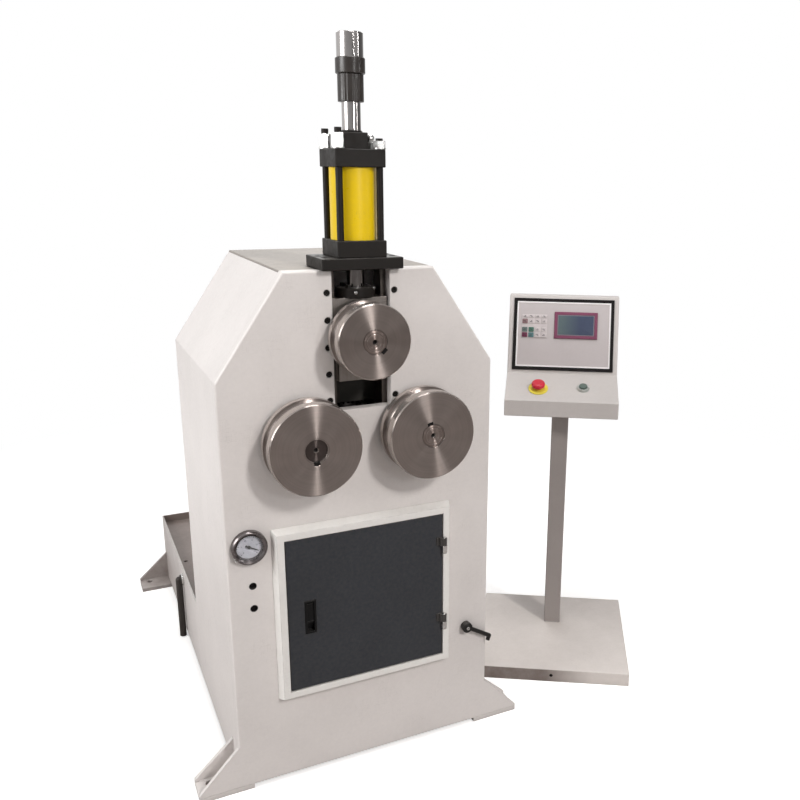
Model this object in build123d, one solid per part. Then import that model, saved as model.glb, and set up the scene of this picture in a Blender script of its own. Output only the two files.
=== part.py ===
from build123d import *
import math
import os

# Pipe rolling machine: a sheet steel cabinet with three grooved rollers on its front,
# an upright hydraulic cylinder that lowers the top roller, and an operator's desk beside it.
# Lengths are in millimetres. +X is to the viewer's right, +Y to the back and +Z up.
# The origin is on the floor, at the centre of the four anchor holes.
# A size that ends in _h is a height above the cabinet's bottom edge, which stands on the foot plates,
# and a size that ends in _deep is a distance behind the cabinet's front face, unless it says otherwise.

# Cabinet shell
cabinet_d = 540.0
gauge_column = 100.0
valve_column = 111.0
slope_rise = 227.0
crown_w = 345.0
base_d = 1255.0
base_tall = 220.0
deck_h = 195.0
sheet_t = 4.0
front_t = 25.0
corner_r = 5.0
bend_r = 10.0
weld_gap = 0.2
cut_over = 1.0
louvre_w = 160.0
louvre_slot = 10.0
louvre_pitch = 28.0
louvre_count = 6
louvre_low_h = 400.0
drain_d = 12.0
drain_deep = 893.0
drain_in = 19.0

# Feet and anchor holes
foot_t = 12.0
foot_d = 75.0
foot_reach = 95.0
foot_tuck = 32.0
wing_tall = 106.0
gusset_tall = 92.0
gusset_nose = 6.0
gusset_t = 10.0
anchor_d = 18.0
anchor_out = 65.0
anchor_in = 50.0

# Fits
run_clear = 0.05
press_clear = 0.03
side_clear = 0.3
face_clear = 0.3

# Rollers and their shafts
roller_span = 272.0
roller_h = 840.0
lower_roller_d = 206.0
top_roller_d = 166.0
front_flange_w = 24.0
groove_r = 15.0
back_flange_w = 18.0
rim_bevel = 2.5
roller_stand = 13.0
hub_d = 60.0
shaft_d = 50.0
eye_d = 56.0
eye_deep = 2.0
shaft_set = 2.5
left_shaft_set = 7.0
centre_d = 12.0
centre_deep = 11.0
key_w = 14.0
key_rise = 4.0
key_set = 14.0
key_mouth = 8.0
left_key_angle = -90.0
right_key_angle = 105.0
top_key_angle = -45.0
tail_d = 60.0
tail_t = 8.0

# Bearings and gears
bearing_d = 90.0
bearing_w = 20.0
bearing_shield = 1.0
bearing_land = 5.0
bearing_deep = 2.0
top_bearing_d = 80.0
bulkhead_deep = 180.0
bulkhead_t = 20.0
bulkhead_up = 120.0
bulkhead_down = 180.0
gear_teeth = 44
pinion_teeth = 24
pressure_angle = 20.0
root_modules = 1.25
gear_backlash = 0.6
gear_deep = 112.0
gear_w = 30.0
pinion_shaft_d = 30.0
pinion_seat = 60.0
pinion_hole_d = 38.0

# Slot, gibs and slide block
slot_w = 133.0
gib_in = 12.5
gib_w = 38.0
gib_d = 45.0
gib_drop = 10.0
slide_clear = 0.5
top_rise = 225.5
ram_down = 55.0
ram_up = 34.0
slot_room = 8.0
slide_up = 83.5
slide_down = 102.5
slide_front_deep = 12.0
slide_nose_w = 102.0
slide_head_tall = 55.0
slide_head_gap = 2.5
slide_back_w = 170.0
slide_back_t = 24.5

# Socket head screws
screw_d = 8.0
screw_len = 34.0
screw_head_d = 13.0
screw_head_t = 8.0
screw_hex = 6.0
screw_socket = 4.0
screw_hole_clear = 0.2
counterbore_d = 15.0
counterbore_deep = 10.0
gib_screw_count = 5
gib_screw_pitch = 60.0
gib_screw_top = 49.0
gib_screw_out = 11.0
flange_screw_in = 14.0

# Hydraulic cylinder
cylinder_deep = 40.0
rod_d = 40.0
flange_w = 184.0
flange_d = 122.0
flange_t = 25.0
flange_bore = 46.0
cap_w = 111.0
lower_cap_t = 36.0
upper_cap_t = 37.0
barrel_d = 101.0
bore_d = 80.0
barrel_len = 152.0
piston_t = 40.0
piston_gap = 5.0
gland_w = 54.0
gland_tall = 34.0
tie_d = 15.0
tie_offset = 45.0
tie_seat = 15.0
tie_clear = 0.2
left_tail = 42.0
right_tail = 22.0
nut_across = 24.0
left_nut_t = 28.0
right_nut_t = 14.0
washer_d = 28.0
washer_t = 3.0
coupling_d = 88.0
coupling_t = 22.0
coupling_bolt_d = 9.0
coupling_bolt_t = 6.0
coupling_bolts = 4
coupling_gap = 2.0
stop_gap = 6.0
collar_d = 53.0
collar_tall = 55.5
ring_d = 62.5
ring_tall = 32.0
sleeve_d = 56.0
sleeve_tall = 49.0
sleeve_thread = 24.5
port_across = 20.0
port_base = 14.0
port_bend = 18.0
port_tube_d = 14.0
port_reach = 24.0
port_end = 7.0
edge_break = 1.5

# Door, frame and hinges
door_w = 387.0
door_tall = 379.0
door_low_h = 237.0
door_gap = 2.0
door_t = 18.0
door_sheet = 2.0
door_sink = 2.0
door_edge = 1.0
frame_bar = 16.0
frame_t = 24.0
frame_spread = 8.0
door_stop = 10.0
knuckle_d = 12.0
hinge_pin_d = 6.0
knuckle_tall = 20.0
knuckle_off = 2.0
upper_hinge_in = 79.0
lower_hinge_in = 94.0
leaf_w = 14.0
leaf_t = 3.0
hinge_arm = 7.0

# Door latch
latch_in = 52.0
latch_up = 182.0
latch_w = 27.0
latch_tall = 84.0
latch_flange = 3.0
latch_flange_t = 2.0
latch_wall = 2.0
latch_deep = 14.0
latch_edge = 1.0
paddle_tall = 46.0
paddle_t = 3.0
paddle_pin_d = 3.0
paddle_top = 5.0
paddle_round = 1.0

# Pressure gauge and spare holes
gauge_in = 51.0
gauge_h = 611.5
gauge_d = 79.0
gauge_bezel = 10.0
bezel_crest = 2.5
bezel_slope = 4.0
gauge_proud = 16.0
gauge_floor = 1.0
gauge_body_d = 72.0
gauge_back = 30.0
dial_t = 1.5
needle_len = 24.0
needle_tail = 9.0
needle_w = 4.5
needle_tip_w = 1.0
needle_hub_lift = 0.75
needle_t = 1.5
needle_hub_d = 7.0
needle_lift = 1.5
arbor_d = 3.0
arbor_seat = 3.0
needle_angle = -27.5
spare_hole_d = 17.4
spare_hole_in = 55.0
spare_hole_drop = 98.1
spare_hole_step = 55.3

# Hand valve
valve_in = 61.0
valve_h = 285.0
valve_neck_d = 24.0
valve_neck = 4.0
valve_body_w = 50.0
valve_body_d = 40.0
stem_d = 12.0
stem_seat = 20.0
lever_hub_d = 27.0
lever_hub_t = 13.0
lever_arm_d = 11.0
lever_len = 76.0
lever_hook = 13.0
lever_angle = -31.0
lever_hook_angle = -108.0

# Conduit on the left wall
conduit_deep = 795.0
conduit_h = 182.0
conduit_d = 20.0
conduit_off = 13.0
conduit_gland_d = 28.0
conduit_gland_len = 10.0
conduit_lift = 2.0

# Drive and hydraulic unit inside
gearbox_w = 170.0
gearbox_d = 130.0
gearbox_bevel = 6.0
motor_d = 150.0
motor_len = 110.0
tank_w = 320.0
tank_d = 230.0
tank_tall = 160.0
tank_deep = 130.0
tank_lid = 6.0
tank_wall = 4.0
tank_mouth_d = 90.0
tank_round = 6.0
pump_in = 90.0
pump_motor_d = 130.0
pump_motor_len = 150.0
pump_flange_d = 160.0
pump_flange_t = 12.0
pump_bevel = 6.0

# Operator's desk: its heights are above the floor
desk_off = 416.0
desk_deep = 327.0
desk_turn = -32.0
slab_w = 450.0
slab_tall = 39.0
slab_sheet = 4.0
slab_hole_d = 10.0
post_back = 77.0
post_w = 50.0
post_wall = 3.0
post_round = 3.0
desk_w = 331.0
desk_under = 747.0
desk_front = 110.0
desk_lip = 48.0
shelf_run = 125.0
shelf_rise = 53.0
panel_run = 85.0
panel_rise = 226.0
desk_top_d = 30.0
desk_sheet = 2.5
desk_round = 2.5
gasket_margin = 14.0
gasket_end = 10.75
gasket_border = 9.5
gasket_t = 4.0
fascia_t = 2.0
screen_x = 37.0
screen_down = 92.0
screen_w = 130.0
screen_tall = 82.0
screen_t = 5.0
screen_border = 9.0
screen_sink = 1.5
screen_back_in = 6.0
screen_back_d = 35.0
keypad_gap = 20.0
keypad_down = 97.0
keypad_w = 81.0
keypad_tall = 76.0
keypad_t = 1.5
key_columns = 4
key_rows = 4
key_gap = 4.0
key_cap_t = 1.0

# Push buttons on the desk's shelf
estop_x = -69.0
estop_ahead = 9.0
estop_ring_d = 58.0
estop_ring_t = 3.0
estop_collar_d = 28.0
estop_collar_t = 4.5
estop_body_d = 22.0
estop_stem_d = 14.0
estop_travel = 5.0
estop_rest_gap = 0.8
mushroom_d = 40.0
mushroom_t = 14.0
mushroom_round = 7.0
mushroom_under = 2.8
start_x = 63.0
start_ahead = 1.0
start_bezel_d = 38.0
start_bezel_t = 7.0
start_body_d = 28.0
start_cap_d = 24.0
start_cap_proud = 12.0
start_cap_len = 22.0
start_cap_round = 2.0
start_bezel_slope = 3.0
button_body_len = 28.0

# Places worked out from the sizes above
front_y = -base_d / 2
bottom_z = foot_t
frame_w = door_w + 2 * (door_gap + frame_bar + frame_spread)
cabinet_w = gauge_column + frame_w + valve_column
half_w = cabinet_w / 2
slide_top_h = roller_h + top_rise + slide_up
cabinet_tall = slide_top_h + coupling_t + coupling_bolt_t + ram_up + coupling_gap
shoulder_h = cabinet_tall - slope_rise
slot_floor_h = roller_h + top_rise - slide_down - ram_down - slot_room
inner_w = half_w - sheet_t
back_y = front_y + front_t
crown_z = bottom_z + cabinet_tall
axis_z = bottom_z + roller_h
top_axis_z = axis_z + top_rise
roller_w = front_flange_w + 2 * groove_r + back_flange_w
roller_front_y = front_y - roller_stand - roller_w
slope_run = (cabinet_w - crown_w) / 2
slope_level_t = sheet_t * math.hypot(slope_run, slope_rise) / slope_rise
cylinder_y = front_y + cylinder_deep
door_x = gauge_column + frame_w / 2 - half_w
latch_x = door_x - door_w / 2 + latch_in
latch_z = bottom_z + door_low_h + latch_up
through_front = (front_y - cut_over, back_y + cut_over)
hinge_levels = (
    bottom_z + door_low_h + lower_hinge_in,
    bottom_z + door_low_h + door_tall - upper_hinge_in,
)
gauge_x = gauge_in - half_w
spare_hole_x = spare_hole_in - half_w
valve_x = half_w - valve_in


def deep(distance):
    """The y position a distance behind the cabinet's front face."""
    return front_y + distance


def high(distance):
    """The z position a distance above the cabinet's bottom edge."""
    return bottom_z + distance


def over(span):
    """A span made longer at both ends, so that a cut goes right through."""
    return (span[0] - cut_over, span[1] + cut_over)


def block(xs, ys, zs):
    """A box between two positions along each axis."""
    spans = (xs, ys, zs)
    middle = [(low + high_end) / 2 for low, high_end in spans]
    size = [high_end - low for low, high_end in spans]
    return Pos(*middle) * Box(*size)


def rod_x(y, z, d, xs):
    """A round bar along X."""
    return Pos((xs[0] + xs[1]) / 2, y, z) * Rot(0, 90, 0) * Cylinder(d / 2, xs[1] - xs[0])


def rod_y(x, z, d, ys):
    """A round bar along Y."""
    return Pos(x, (ys[0] + ys[1]) / 2, z) * Rot(90, 0, 0) * Cylinder(d / 2, ys[1] - ys[0])


def rod_z(x, y, d, zs):
    """A round bar along Z."""
    return Pos(x, y, (zs[0] + zs[1]) / 2) * Cylinder(d / 2, zs[1] - zs[0])


def plate_y(points, ys):
    """A plate with an outline in x and z, between two y positions."""
    outline = Plane.XZ.offset(-ys[1]) * Polygon(*points, align=None)
    return extrude(outline, amount=ys[1] - ys[0], dir=(0, -1, 0))


def hex_z(x, y, across, zs):
    """A hexagonal bar along Z."""
    outline = RegularPolygon(across / 2, 6, major_radius=False)
    return Pos(x, y, zs[0]) * extrude(outline, amount=zs[1] - zs[0])


def turned_y(x, z, points):
    """A turned piece about a Y axis, from an outline of radius and y."""
    return Pos(x, 0, z) * revolve(Polygon(*points, align=None), axis=Axis.Y)


def turned_z(x, y, points):
    """A turned piece about a Z axis, from an outline of radius and z."""
    return Pos(x, y, 0) * revolve(Plane.XZ * Polygon(*points, align=None), axis=Axis.Z)


def group(shapes):
    """Several shapes as one part."""
    return Part() + list(shapes)


def both_sides(make):
    """The shapes that a function makes for the left and the right side."""
    return group([make(-1), make(1)])


# Cabinet shell


def slope_x(h, inset):
    """Half the cabinet's width at a height on its sloped side, less an inset."""
    return half_w - slope_run * (h - shoulder_h) / slope_rise - inset


def inside_outline(low_h, high_h):
    """The outline of the space between the side sheets, in x and z."""
    mitre_h = shoulder_h - (slope_level_t - sheet_t) * slope_rise / slope_run
    wall_x = inner_w - weld_gap
    right = [(wall_x, high(low_h)), (wall_x, high(mitre_h))]
    right.append((slope_x(high_h, slope_level_t + weld_gap), high(high_h)))
    left = [(-x, z) for x, z in reversed(right)]
    return right + left


def make_side(side):
    """One bent side sheet: the low base wall, the tall wall and the slope above it."""
    cover_h = cabinet_tall - sheet_t
    mitre_h = shoulder_h - (slope_level_t - sheet_t) * slope_rise / slope_run
    outline = [
        (side * half_w, bottom_z),
        (side * half_w, high(shoulder_h)),
        (side * slope_x(cover_h, 0), high(cover_h)),
        (side * slope_x(cover_h, slope_level_t), high(cover_h)),
        (side * inner_w, high(mitre_h)),
        (side * inner_w, bottom_z),
    ]
    tall = plate_y(outline, (back_y, deep(cabinet_d)))
    corner = (side * half_w, back_y, high(shoulder_h))
    tall = fillet(tall.edges().filter_by(Axis.Y).sort_by_distance(corner)[0], bend_r)
    wall = sorted((side * inner_w, side * half_w))
    low = block(wall, (deep(cabinet_d), deep(base_d)), (bottom_z, high(base_tall)))
    return tall + low


def make_front_plate():
    """The thick front plate with its wings, slot, door opening and bores."""
    outline = [
        (-half_w, bottom_z),
        (half_w, bottom_z),
        (half_w, high(shoulder_h)),
        (crown_w / 2, crown_z),
        (-crown_w / 2, crown_z),
        (-half_w, high(shoulder_h)),
    ]
    plate = plate_y(outline, (front_y, back_y))
    bends = plate.edges().filter_by(Axis.Y).sort_by(Axis.Z)[2:4]
    plate = fillet(bends, bend_r)
    rim = plate.faces().sort_by(Axis.Y)[0].edges().sort_by(Axis.Z)[1:]
    plate = fillet(rim, corner_r)
    plate += both_sides(make_wing)
    plate -= block((-slot_w / 2, slot_w / 2), through_front, (high(slot_floor_h), crown_z + cut_over))
    lips = door_edges(-door_stop)
    plate -= block(lips[0], through_front, lips[1])
    for side in (-1, 1):
        x = side * roller_span / 2
        plate -= rod_y(x, axis_z, bearing_d + 2 * press_clear, through_front)
    for x, z in gib_screw_places():
        plate -= rod_y(x, z, counterbore_d, (front_y - cut_over, deep(counterbore_deep)))
        plate -= rod_y(x, z, screw_d + 2 * screw_hole_clear, through_front)
    for x, y in flange_screw_places():
        plate -= rod_z(x, y, screw_d + 2 * screw_hole_clear, flange_screw_hole())
    plate -= rod_y(gauge_x, high(gauge_h), gauge_body_d + 2 * side_clear, through_front)
    for drop in (spare_hole_drop, spare_hole_drop + spare_hole_step):
        plate -= rod_y(spare_hole_x, high(gauge_h - drop), spare_hole_d, through_front)
    plate -= rod_y(valve_x, high(valve_h), valve_neck_d + 2 * side_clear, through_front)
    return plate


def gusset_outline(side, start_x, tall):
    """A triangular gusset's outline in x and z, from a start inside or on the wall."""
    tip_x = half_w + foot_reach
    points = [
        (start_x, bottom_z),
        (tip_x, bottom_z),
        (tip_x, high(gusset_nose)),
        (half_w, high(tall)),
    ]
    if start_x < half_w:
        points.append((start_x, high(tall)))
    return [(side * x, z) for x, z in points]


def make_wing(side):
    """The front plate's gusset over a front foot."""
    return plate_y(gusset_outline(side, half_w - front_t, wing_tall), (front_y, front_y + gusset_t))


def make_foot(side, from_front):
    """One foot plate with its anchor hole and the gusset along its rear edge."""
    start = front_y if from_front else deep(base_d - 2 * anchor_in)
    end = start + foot_d
    xs = sorted((side * (half_w - foot_tuck), side * (half_w + foot_reach)))
    foot = block(xs, (start, end), (0, foot_t))
    foot += plate_y(gusset_outline(side, half_w, gusset_tall), (end - gusset_t, end))
    return foot - rod_z(side * (half_w + anchor_out), start + anchor_in, anchor_d, over((0, foot_t)))


def make_top_cover():
    """The flat top sheet, notched round the gibs."""
    low_h = cabinet_tall - sheet_t
    outline = [
        (slope_x(low_h, 0), high(low_h)),
        (crown_w / 2, crown_z),
        (-crown_w / 2, crown_z),
        (-slope_x(low_h, 0), high(low_h)),
    ]
    cover = plate_y(outline, (back_y, deep(cabinet_d)))
    notch_x = slot_w / 2 - gib_in + gib_w + slide_head_gap
    notch_ys = (back_y - cut_over, cylinder_y + flange_d / 2)
    return cover - block((-notch_x, notch_x), notch_ys, (high(low_h) - cut_over, crown_z + cut_over))


def make_rear_wall():
    """The cabinet's rear sheet with its louvre slots."""
    ys = (deep(cabinet_d) - sheet_t, deep(cabinet_d))
    wall = plate_y(inside_outline(deck_h, cabinet_tall - sheet_t), ys)
    for row in range(louvre_count):
        z = high(louvre_low_h + row * louvre_pitch)
        wall -= block((-louvre_w / 2, louvre_w / 2), over(ys), (z, z + louvre_slot))
    return wall


def make_base_deck():
    """The deck that is the cabinet's floor and the rear tray, with the base's end wall."""
    deck = block((-inner_w, inner_w), (back_y, deep(base_d)), (high(deck_h - sheet_t), high(deck_h)))
    end = block((-inner_w, inner_w), (deep(base_d) - sheet_t, deep(base_d)), (bottom_z, high(base_tall)))
    drain_zs = over((high(deck_h - sheet_t), high(deck_h)))
    drain = rod_z(drain_in - inner_w, deep(drain_deep), drain_d, drain_zs)
    return deck + end - drain


# Screws


def gib_screw_places():
    """The x and z of each screw that holds a gib."""
    x = slot_w / 2 + gib_screw_out
    rows = [crown_z - gib_screw_top - row * gib_screw_pitch for row in range(gib_screw_count)]
    return [(side * x, z) for side in (-1, 1) for z in rows]


def flange_screw_places():
    """The x and y of each screw that holds the cylinder's flange."""
    x = flange_w / 2 - flange_screw_in
    rows = (front_y + front_t / 2, back_y + gib_d - flange_screw_in)
    return [(side * x, y) for side in (-1, 1) for y in rows]


def flange_screw_hole():
    """The z span of a flange screw's hole, from its tip to above the cabinet."""
    seat_z = crown_z + flange_t - counterbore_deep
    return over((seat_z - screw_len, crown_z + flange_t))


def make_screw():
    """A socket head screw whose head seats at z = 0, with its shank below."""
    screw = rod_z(0, 0, screw_head_d, (0, screw_head_t)) + rod_z(0, 0, screw_d, (-screw_len, 0))
    return screw - hex_z(0, 0, screw_hex, (screw_head_t - screw_socket, screw_head_t + cut_over))


def make_cap_screws():
    """All the screws of the gibs and of the cylinder's flange."""
    screw = make_screw()
    gibs = [Pos(x, deep(counterbore_deep), z) * Rot(90, 0, 0) * screw for x, z in gib_screw_places()]
    seat_z = crown_z + flange_t - counterbore_deep
    flange = [Pos(x, y, seat_z) * screw for x, y in flange_screw_places()]
    return group(gibs + flange)


# Rollers, shafts, bearings and gears


def key_box(angle, length_ys, grow, x, z, d):
    """A key's block on a shaft along Y, at an angle from +X towards +Z, grown by a clearance."""
    key = block((0, d / 2 + key_rise + grow), length_ys, (-key_w / 2 - grow, key_w / 2 + grow))
    return Pos(x, 0, z) * Rot(0, -angle, 0) * key


def make_roller(x, z, d, hub_end, key_angle):
    """A grooved roller with a rear hub, a bore and a keyway."""
    bore = shaft_d / 2 + press_clear
    back = roller_front_y + roller_w
    outline = [
        (bore, roller_front_y),
        (d / 2 - rim_bevel, roller_front_y),
        (d / 2, roller_front_y + rim_bevel),
        (d / 2, back - rim_bevel),
        (d / 2 - rim_bevel, back),
        (hub_d / 2, back),
        (hub_d / 2, hub_end),
        (bore, hub_end),
    ]
    roller = turned_y(x, z, outline)
    groove_y = roller_front_y + front_flange_w + groove_r
    roller -= Pos(x, groove_y, z) * Rot(90, 0, 0) * Torus(d / 2, groove_r)
    roller -= rod_y(x, z, eye_d, (roller_front_y - cut_over, roller_front_y + eye_deep))
    mouth_ys = (roller_front_y - cut_over, roller_front_y + key_set)
    roller -= key_box(key_angle, mouth_ys, 0, x, z, shaft_d + 2 * (key_mouth - key_rise))
    return roller - key_box(key_angle, over((roller_front_y, hub_end)), press_clear, x, z, shaft_d)


def make_shaft(x, z, set_back, end_y, key_angle):
    """A roller's shaft with its centre hole, its key and a tail collar behind its last bearing."""
    start = roller_front_y + set_back
    shaft = rod_y(x, z, shaft_d, (start, end_y + face_clear + tail_t))
    shaft += rod_y(x, z, tail_d, (end_y + face_clear, end_y + face_clear + tail_t))
    centre = [
        (0, start - cut_over),
        (centre_d / 2, start - cut_over),
        (centre_d / 2, start),
        (0, start + centre_deep),
    ]
    shaft -= turned_y(x, z, centre)
    return shaft + key_box(key_angle, (roller_front_y + key_set, front_y - roller_stand), 0, x, z, shaft_d)


def make_bearing(x, z, d, y):
    """A ball bearing as one ring with shielded faces."""
    ys = (y, y + bearing_w)
    ring = rod_y(x, z, d, ys) - rod_y(x, z, shaft_d + 2 * run_clear, ys)
    outer = d - 2 * bearing_land
    inner = shaft_d + 2 * bearing_land
    for span in ((ys[0], ys[0] + bearing_shield), (ys[1] - bearing_shield, ys[1])):
        ring -= rod_y(x, z, outer, span) - rod_y(x, z, inner, span)
    return ring


def tooth_half_angle(radius, teeth):
    """Half the angle that an involute tooth takes at a radius, in radians."""
    pitch_r = gear_module() * teeth / 2
    pressure = math.radians(pressure_angle)
    here = math.acos(min(1.0, pitch_r * math.cos(pressure) / radius))
    share = math.pi / (2 * teeth) - gear_backlash / (4 * pitch_r)
    return share + (math.tan(pressure) - pressure) - (math.tan(here) - here)


def gear_module():
    """The module that makes both gears mesh with the pinion midway between them."""
    return roller_span / (gear_teeth + pinion_teeth)


def make_gear(x, teeth, bore, turn):
    """A spur gear about the roller axis height, with a tooth at an angle given by turn."""
    module = gear_module()
    pitch_r = module * teeth / 2
    radii = (pitch_r - root_modules * module, pitch_r, pitch_r + module)
    points = []
    for tooth in range(teeth):
        middle = turn + 2 * math.pi * tooth / teeth
        rising = [(r, middle - tooth_half_angle(r, teeth)) for r in radii]
        falling = [(r, middle + tooth_half_angle(r, teeth)) for r in reversed(radii)]
        points += [(x + r * math.cos(a), axis_z + r * math.sin(a)) for r, a in rising + falling]
    ys = (deep(gear_deep), deep(gear_deep) + gear_w)
    gear = plate_y(points, ys)
    if bore > 0:
        gear -= rod_y(x, axis_z, bore, ys)
    return gear


def make_roller_gear(x, key_angle):
    """A roller's gear with its bore and keyway."""
    gear = make_gear(x, gear_teeth, shaft_d + 2 * press_clear, 0)
    ys = (deep(gear_deep), deep(gear_deep) + gear_w)
    return gear - key_box(key_angle, over(ys), press_clear, x, axis_z, shaft_d)


def make_pinion():
    """The drive pinion with its shaft into the gearbox."""
    pinion = make_gear(0, pinion_teeth, 0, math.pi / pinion_teeth)
    end_y = deep(bulkhead_deep) + bulkhead_t + pinion_seat
    return pinion + rod_y(0, axis_z, pinion_shaft_d, (deep(gear_deep) + gear_w, end_y))


def make_bulkhead():
    """The inner plate that carries the shafts' rear bearings, cut to the cabinet's inside."""
    ys = (deep(bulkhead_deep), deep(bulkhead_deep) + bulkhead_t)
    inside = plate_y(inside_outline(deck_h, cabinet_tall - sheet_t), ys)
    plate = inside & block((-half_w, half_w), ys, (axis_z - bulkhead_down, axis_z + bulkhead_up))
    for side in (-1, 1):
        x = side * roller_span / 2
        plate -= rod_y(x, axis_z, bearing_d + 2 * press_clear, over(ys))
    return plate - rod_y(0, axis_z, pinion_hole_d, over(ys))


def make_lower_shaft(side, set_back, key_angle):
    """A lower roller's shaft, with a second key for its gear."""
    x = side * roller_span / 2
    shaft = make_shaft(x, axis_z, set_back, deep(bulkhead_deep) + bulkhead_t, key_angle)
    gear_ys = (deep(gear_deep), deep(gear_deep) + gear_w)
    return shaft + key_box(key_angle, gear_ys, 0, x, axis_z, shaft_d)


# Slide block and gibs


def make_gib(side):
    """One gib behind the front plate, beside the slot."""
    edge = slot_w / 2 - gib_in
    xs = sorted((side * edge, side * (edge + gib_w)))
    gib = block(xs, (back_y, back_y + gib_d), (high(slot_floor_h - gib_drop), crown_z))
    for x, z in gib_screw_places():
        if x * side > 0:
            hole_ys = over((back_y, deep(counterbore_deep) + screw_len))
            gib -= rod_y(x, z, screw_d + 2 * screw_hole_clear, hole_ys)
    for x, y in flange_screw_places():
        if x * side > 0 and y > back_y:
            gib -= rod_z(x, y, screw_d + 2 * screw_hole_clear, flange_screw_hole())
    return gib


def make_slide_block():
    """The block that the gibs guide and the top roller's bearings sit in."""
    zs = (top_axis_z - slide_down, top_axis_z + slide_up)
    web_x = slot_w / 2 - gib_in - slide_clear
    head_x = slot_w / 2 - slide_head_gap
    back = back_y + gib_d + slide_clear
    slide = block((-web_x, web_x), (back_y - slide_clear, back), zs)
    nose_x = slide_nose_w / 2
    slide += block((-nose_x, nose_x), (deep(slide_front_deep), back_y - slide_clear), zs)
    head_zs = (zs[1] - slide_head_tall, zs[1])
    slide += block((-head_x, head_x), (deep(slide_front_deep), back_y - slide_clear), head_zs)
    slide += block((-slide_back_w / 2, slide_back_w / 2), (back, back + slide_back_t), zs)
    bore = top_bearing_d + 2 * press_clear
    return slide - rod_y(0, top_axis_z, bore, over((deep(slide_front_deep), back + slide_back_t)))


def slide_back_y():
    """The y of the slide block's rear face."""
    return back_y + gib_d + slide_clear + slide_back_t


# Hydraulic cylinder


flange_z = crown_z + flange_t
lower_cap_z = flange_z + lower_cap_t
barrel_z = lower_cap_z + barrel_len
upper_cap_z = barrel_z + upper_cap_t
gland_z = upper_cap_z + gland_tall
collar_z = gland_z + ram_down + stop_gap
ring_z = collar_z + collar_tall
sleeve_z = ring_z + ring_tall
coupling_z = top_axis_z + slide_up


def tie_places():
    """The x and y of each tie rod."""
    return [(sx * tie_offset, cylinder_y + sy * tie_offset) for sx in (-1, 1) for sy in (-1, 1)]


def tie_bores(zs):
    """The clearance holes of the tie rods."""
    return group([rod_z(x, y, tie_d + 2 * tie_clear, zs) for x, y in tie_places()])


def square_block(width, depth, zs, bore):
    """A square block about the cylinder's axis with broken edges and a bore."""
    xs = (-width / 2, width / 2)
    ys = (cylinder_y - depth / 2, cylinder_y + depth / 2)
    body = block(xs, ys, zs)
    body = chamfer(body.edges(), edge_break)
    return body - rod_z(0, cylinder_y, bore, over(zs))


def make_cylinder_flange():
    """The plate under the cylinder, screwed to the cabinet's top."""
    plate = square_block(flange_w, flange_d, (crown_z, flange_z), flange_bore)
    plate -= tie_bores((flange_z - tie_seat, flange_z + cut_over))
    for x, y in flange_screw_places():
        plate -= rod_z(x, y, counterbore_d, (flange_z - counterbore_deep, flange_z + cut_over))
        plate -= rod_z(x, y, screw_d + 2 * screw_hole_clear, (crown_z - cut_over, flange_z))
    return plate


def make_cap(zs):
    """One of the cylinder's square end caps."""
    return square_block(cap_w, cap_w, zs, rod_d + 2 * run_clear) - tie_bores(over(zs))


def tail_of(x):
    """How far a tie rod stands above the upper cap."""
    return left_tail if x < 0 else right_tail


def make_tie_rods():
    """The four tie rods with their threaded ends."""
    foot_z = flange_z - tie_seat
    return group([rod_z(x, y, tie_d, (foot_z, upper_cap_z + tail_of(x))) for x, y in tie_places()])


def make_tie_nuts():
    """The nuts and washers on the upper cap."""
    nuts = []
    for x, y in tie_places():
        nut_t = left_nut_t if x < 0 else right_nut_t
        seat_z = upper_cap_z + washer_t
        washer = rod_z(x, y, washer_d, (upper_cap_z, seat_z))
        nut = hex_z(x, y, nut_across, (seat_z, seat_z + nut_t))
        hole = rod_z(x, y, tie_d + 2 * tie_clear, over((upper_cap_z, seat_z + nut_t)))
        nuts.append(washer + nut - hole)
    return group(nuts)


def make_port(bent_to):
    """An elbow fitting that seats at z = 0 and turns towards an angle about Z."""
    bend_z = port_base + port_bend / 2
    port = hex_z(0, 0, port_across, (0, port_base))
    port += rod_z(0, 0, port_tube_d, (port_base, bend_z))
    port += Pos(0, 0, bend_z) * Sphere(port_bend / 2)
    port += rod_x(0, bend_z, port_tube_d, (0, port_reach))
    port += rod_x(0, bend_z, port_bend, (port_reach - port_end, port_reach))
    return Rot(0, 0, bent_to) * port


def make_port_fittings():
    """The elbow on the upper cap and the one on the lower cap's rear."""
    upper_x = (gland_w / 2 + cap_w / 2) / 2
    upper = Pos(upper_x, cylinder_y, upper_cap_z) * make_port(90)
    lower = Pos(0, cylinder_y + cap_w / 2, flange_z + lower_cap_t / 2) * Rot(-90, 0, 0) * make_port(0)
    return group([upper, lower])


def make_piston_rod():
    """The rod that passes right through the cylinder, with its piston."""
    piston_z = lower_cap_z + ram_down + piston_gap
    rod = rod_z(0, cylinder_y, rod_d, (coupling_z, sleeve_z + sleeve_thread))
    return rod + rod_z(0, cylinder_y, bore_d - 2 * run_clear, (piston_z, piston_z + piston_t))


def round_collar(d, zs, bore, bevel):
    """A bevelled ring about the cylinder's axis."""
    outline = [
        (bore / 2, zs[0]),
        (d / 2 - bevel, zs[0]),
        (d / 2, zs[0] + bevel),
        (d / 2, zs[1] - bevel),
        (d / 2 - bevel, zs[1]),
        (bore / 2, zs[1]),
    ]
    return turned_z(0, cylinder_y, outline)


def make_stop_collar():
    """The stop collar and the ring above it, clamped on the rod."""
    bore = rod_d + 2 * press_clear
    collar = round_collar(collar_d, (collar_z, ring_z), bore, edge_break)
    return collar + round_collar(ring_d, (ring_z, sleeve_z), bore, edge_break)


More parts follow.
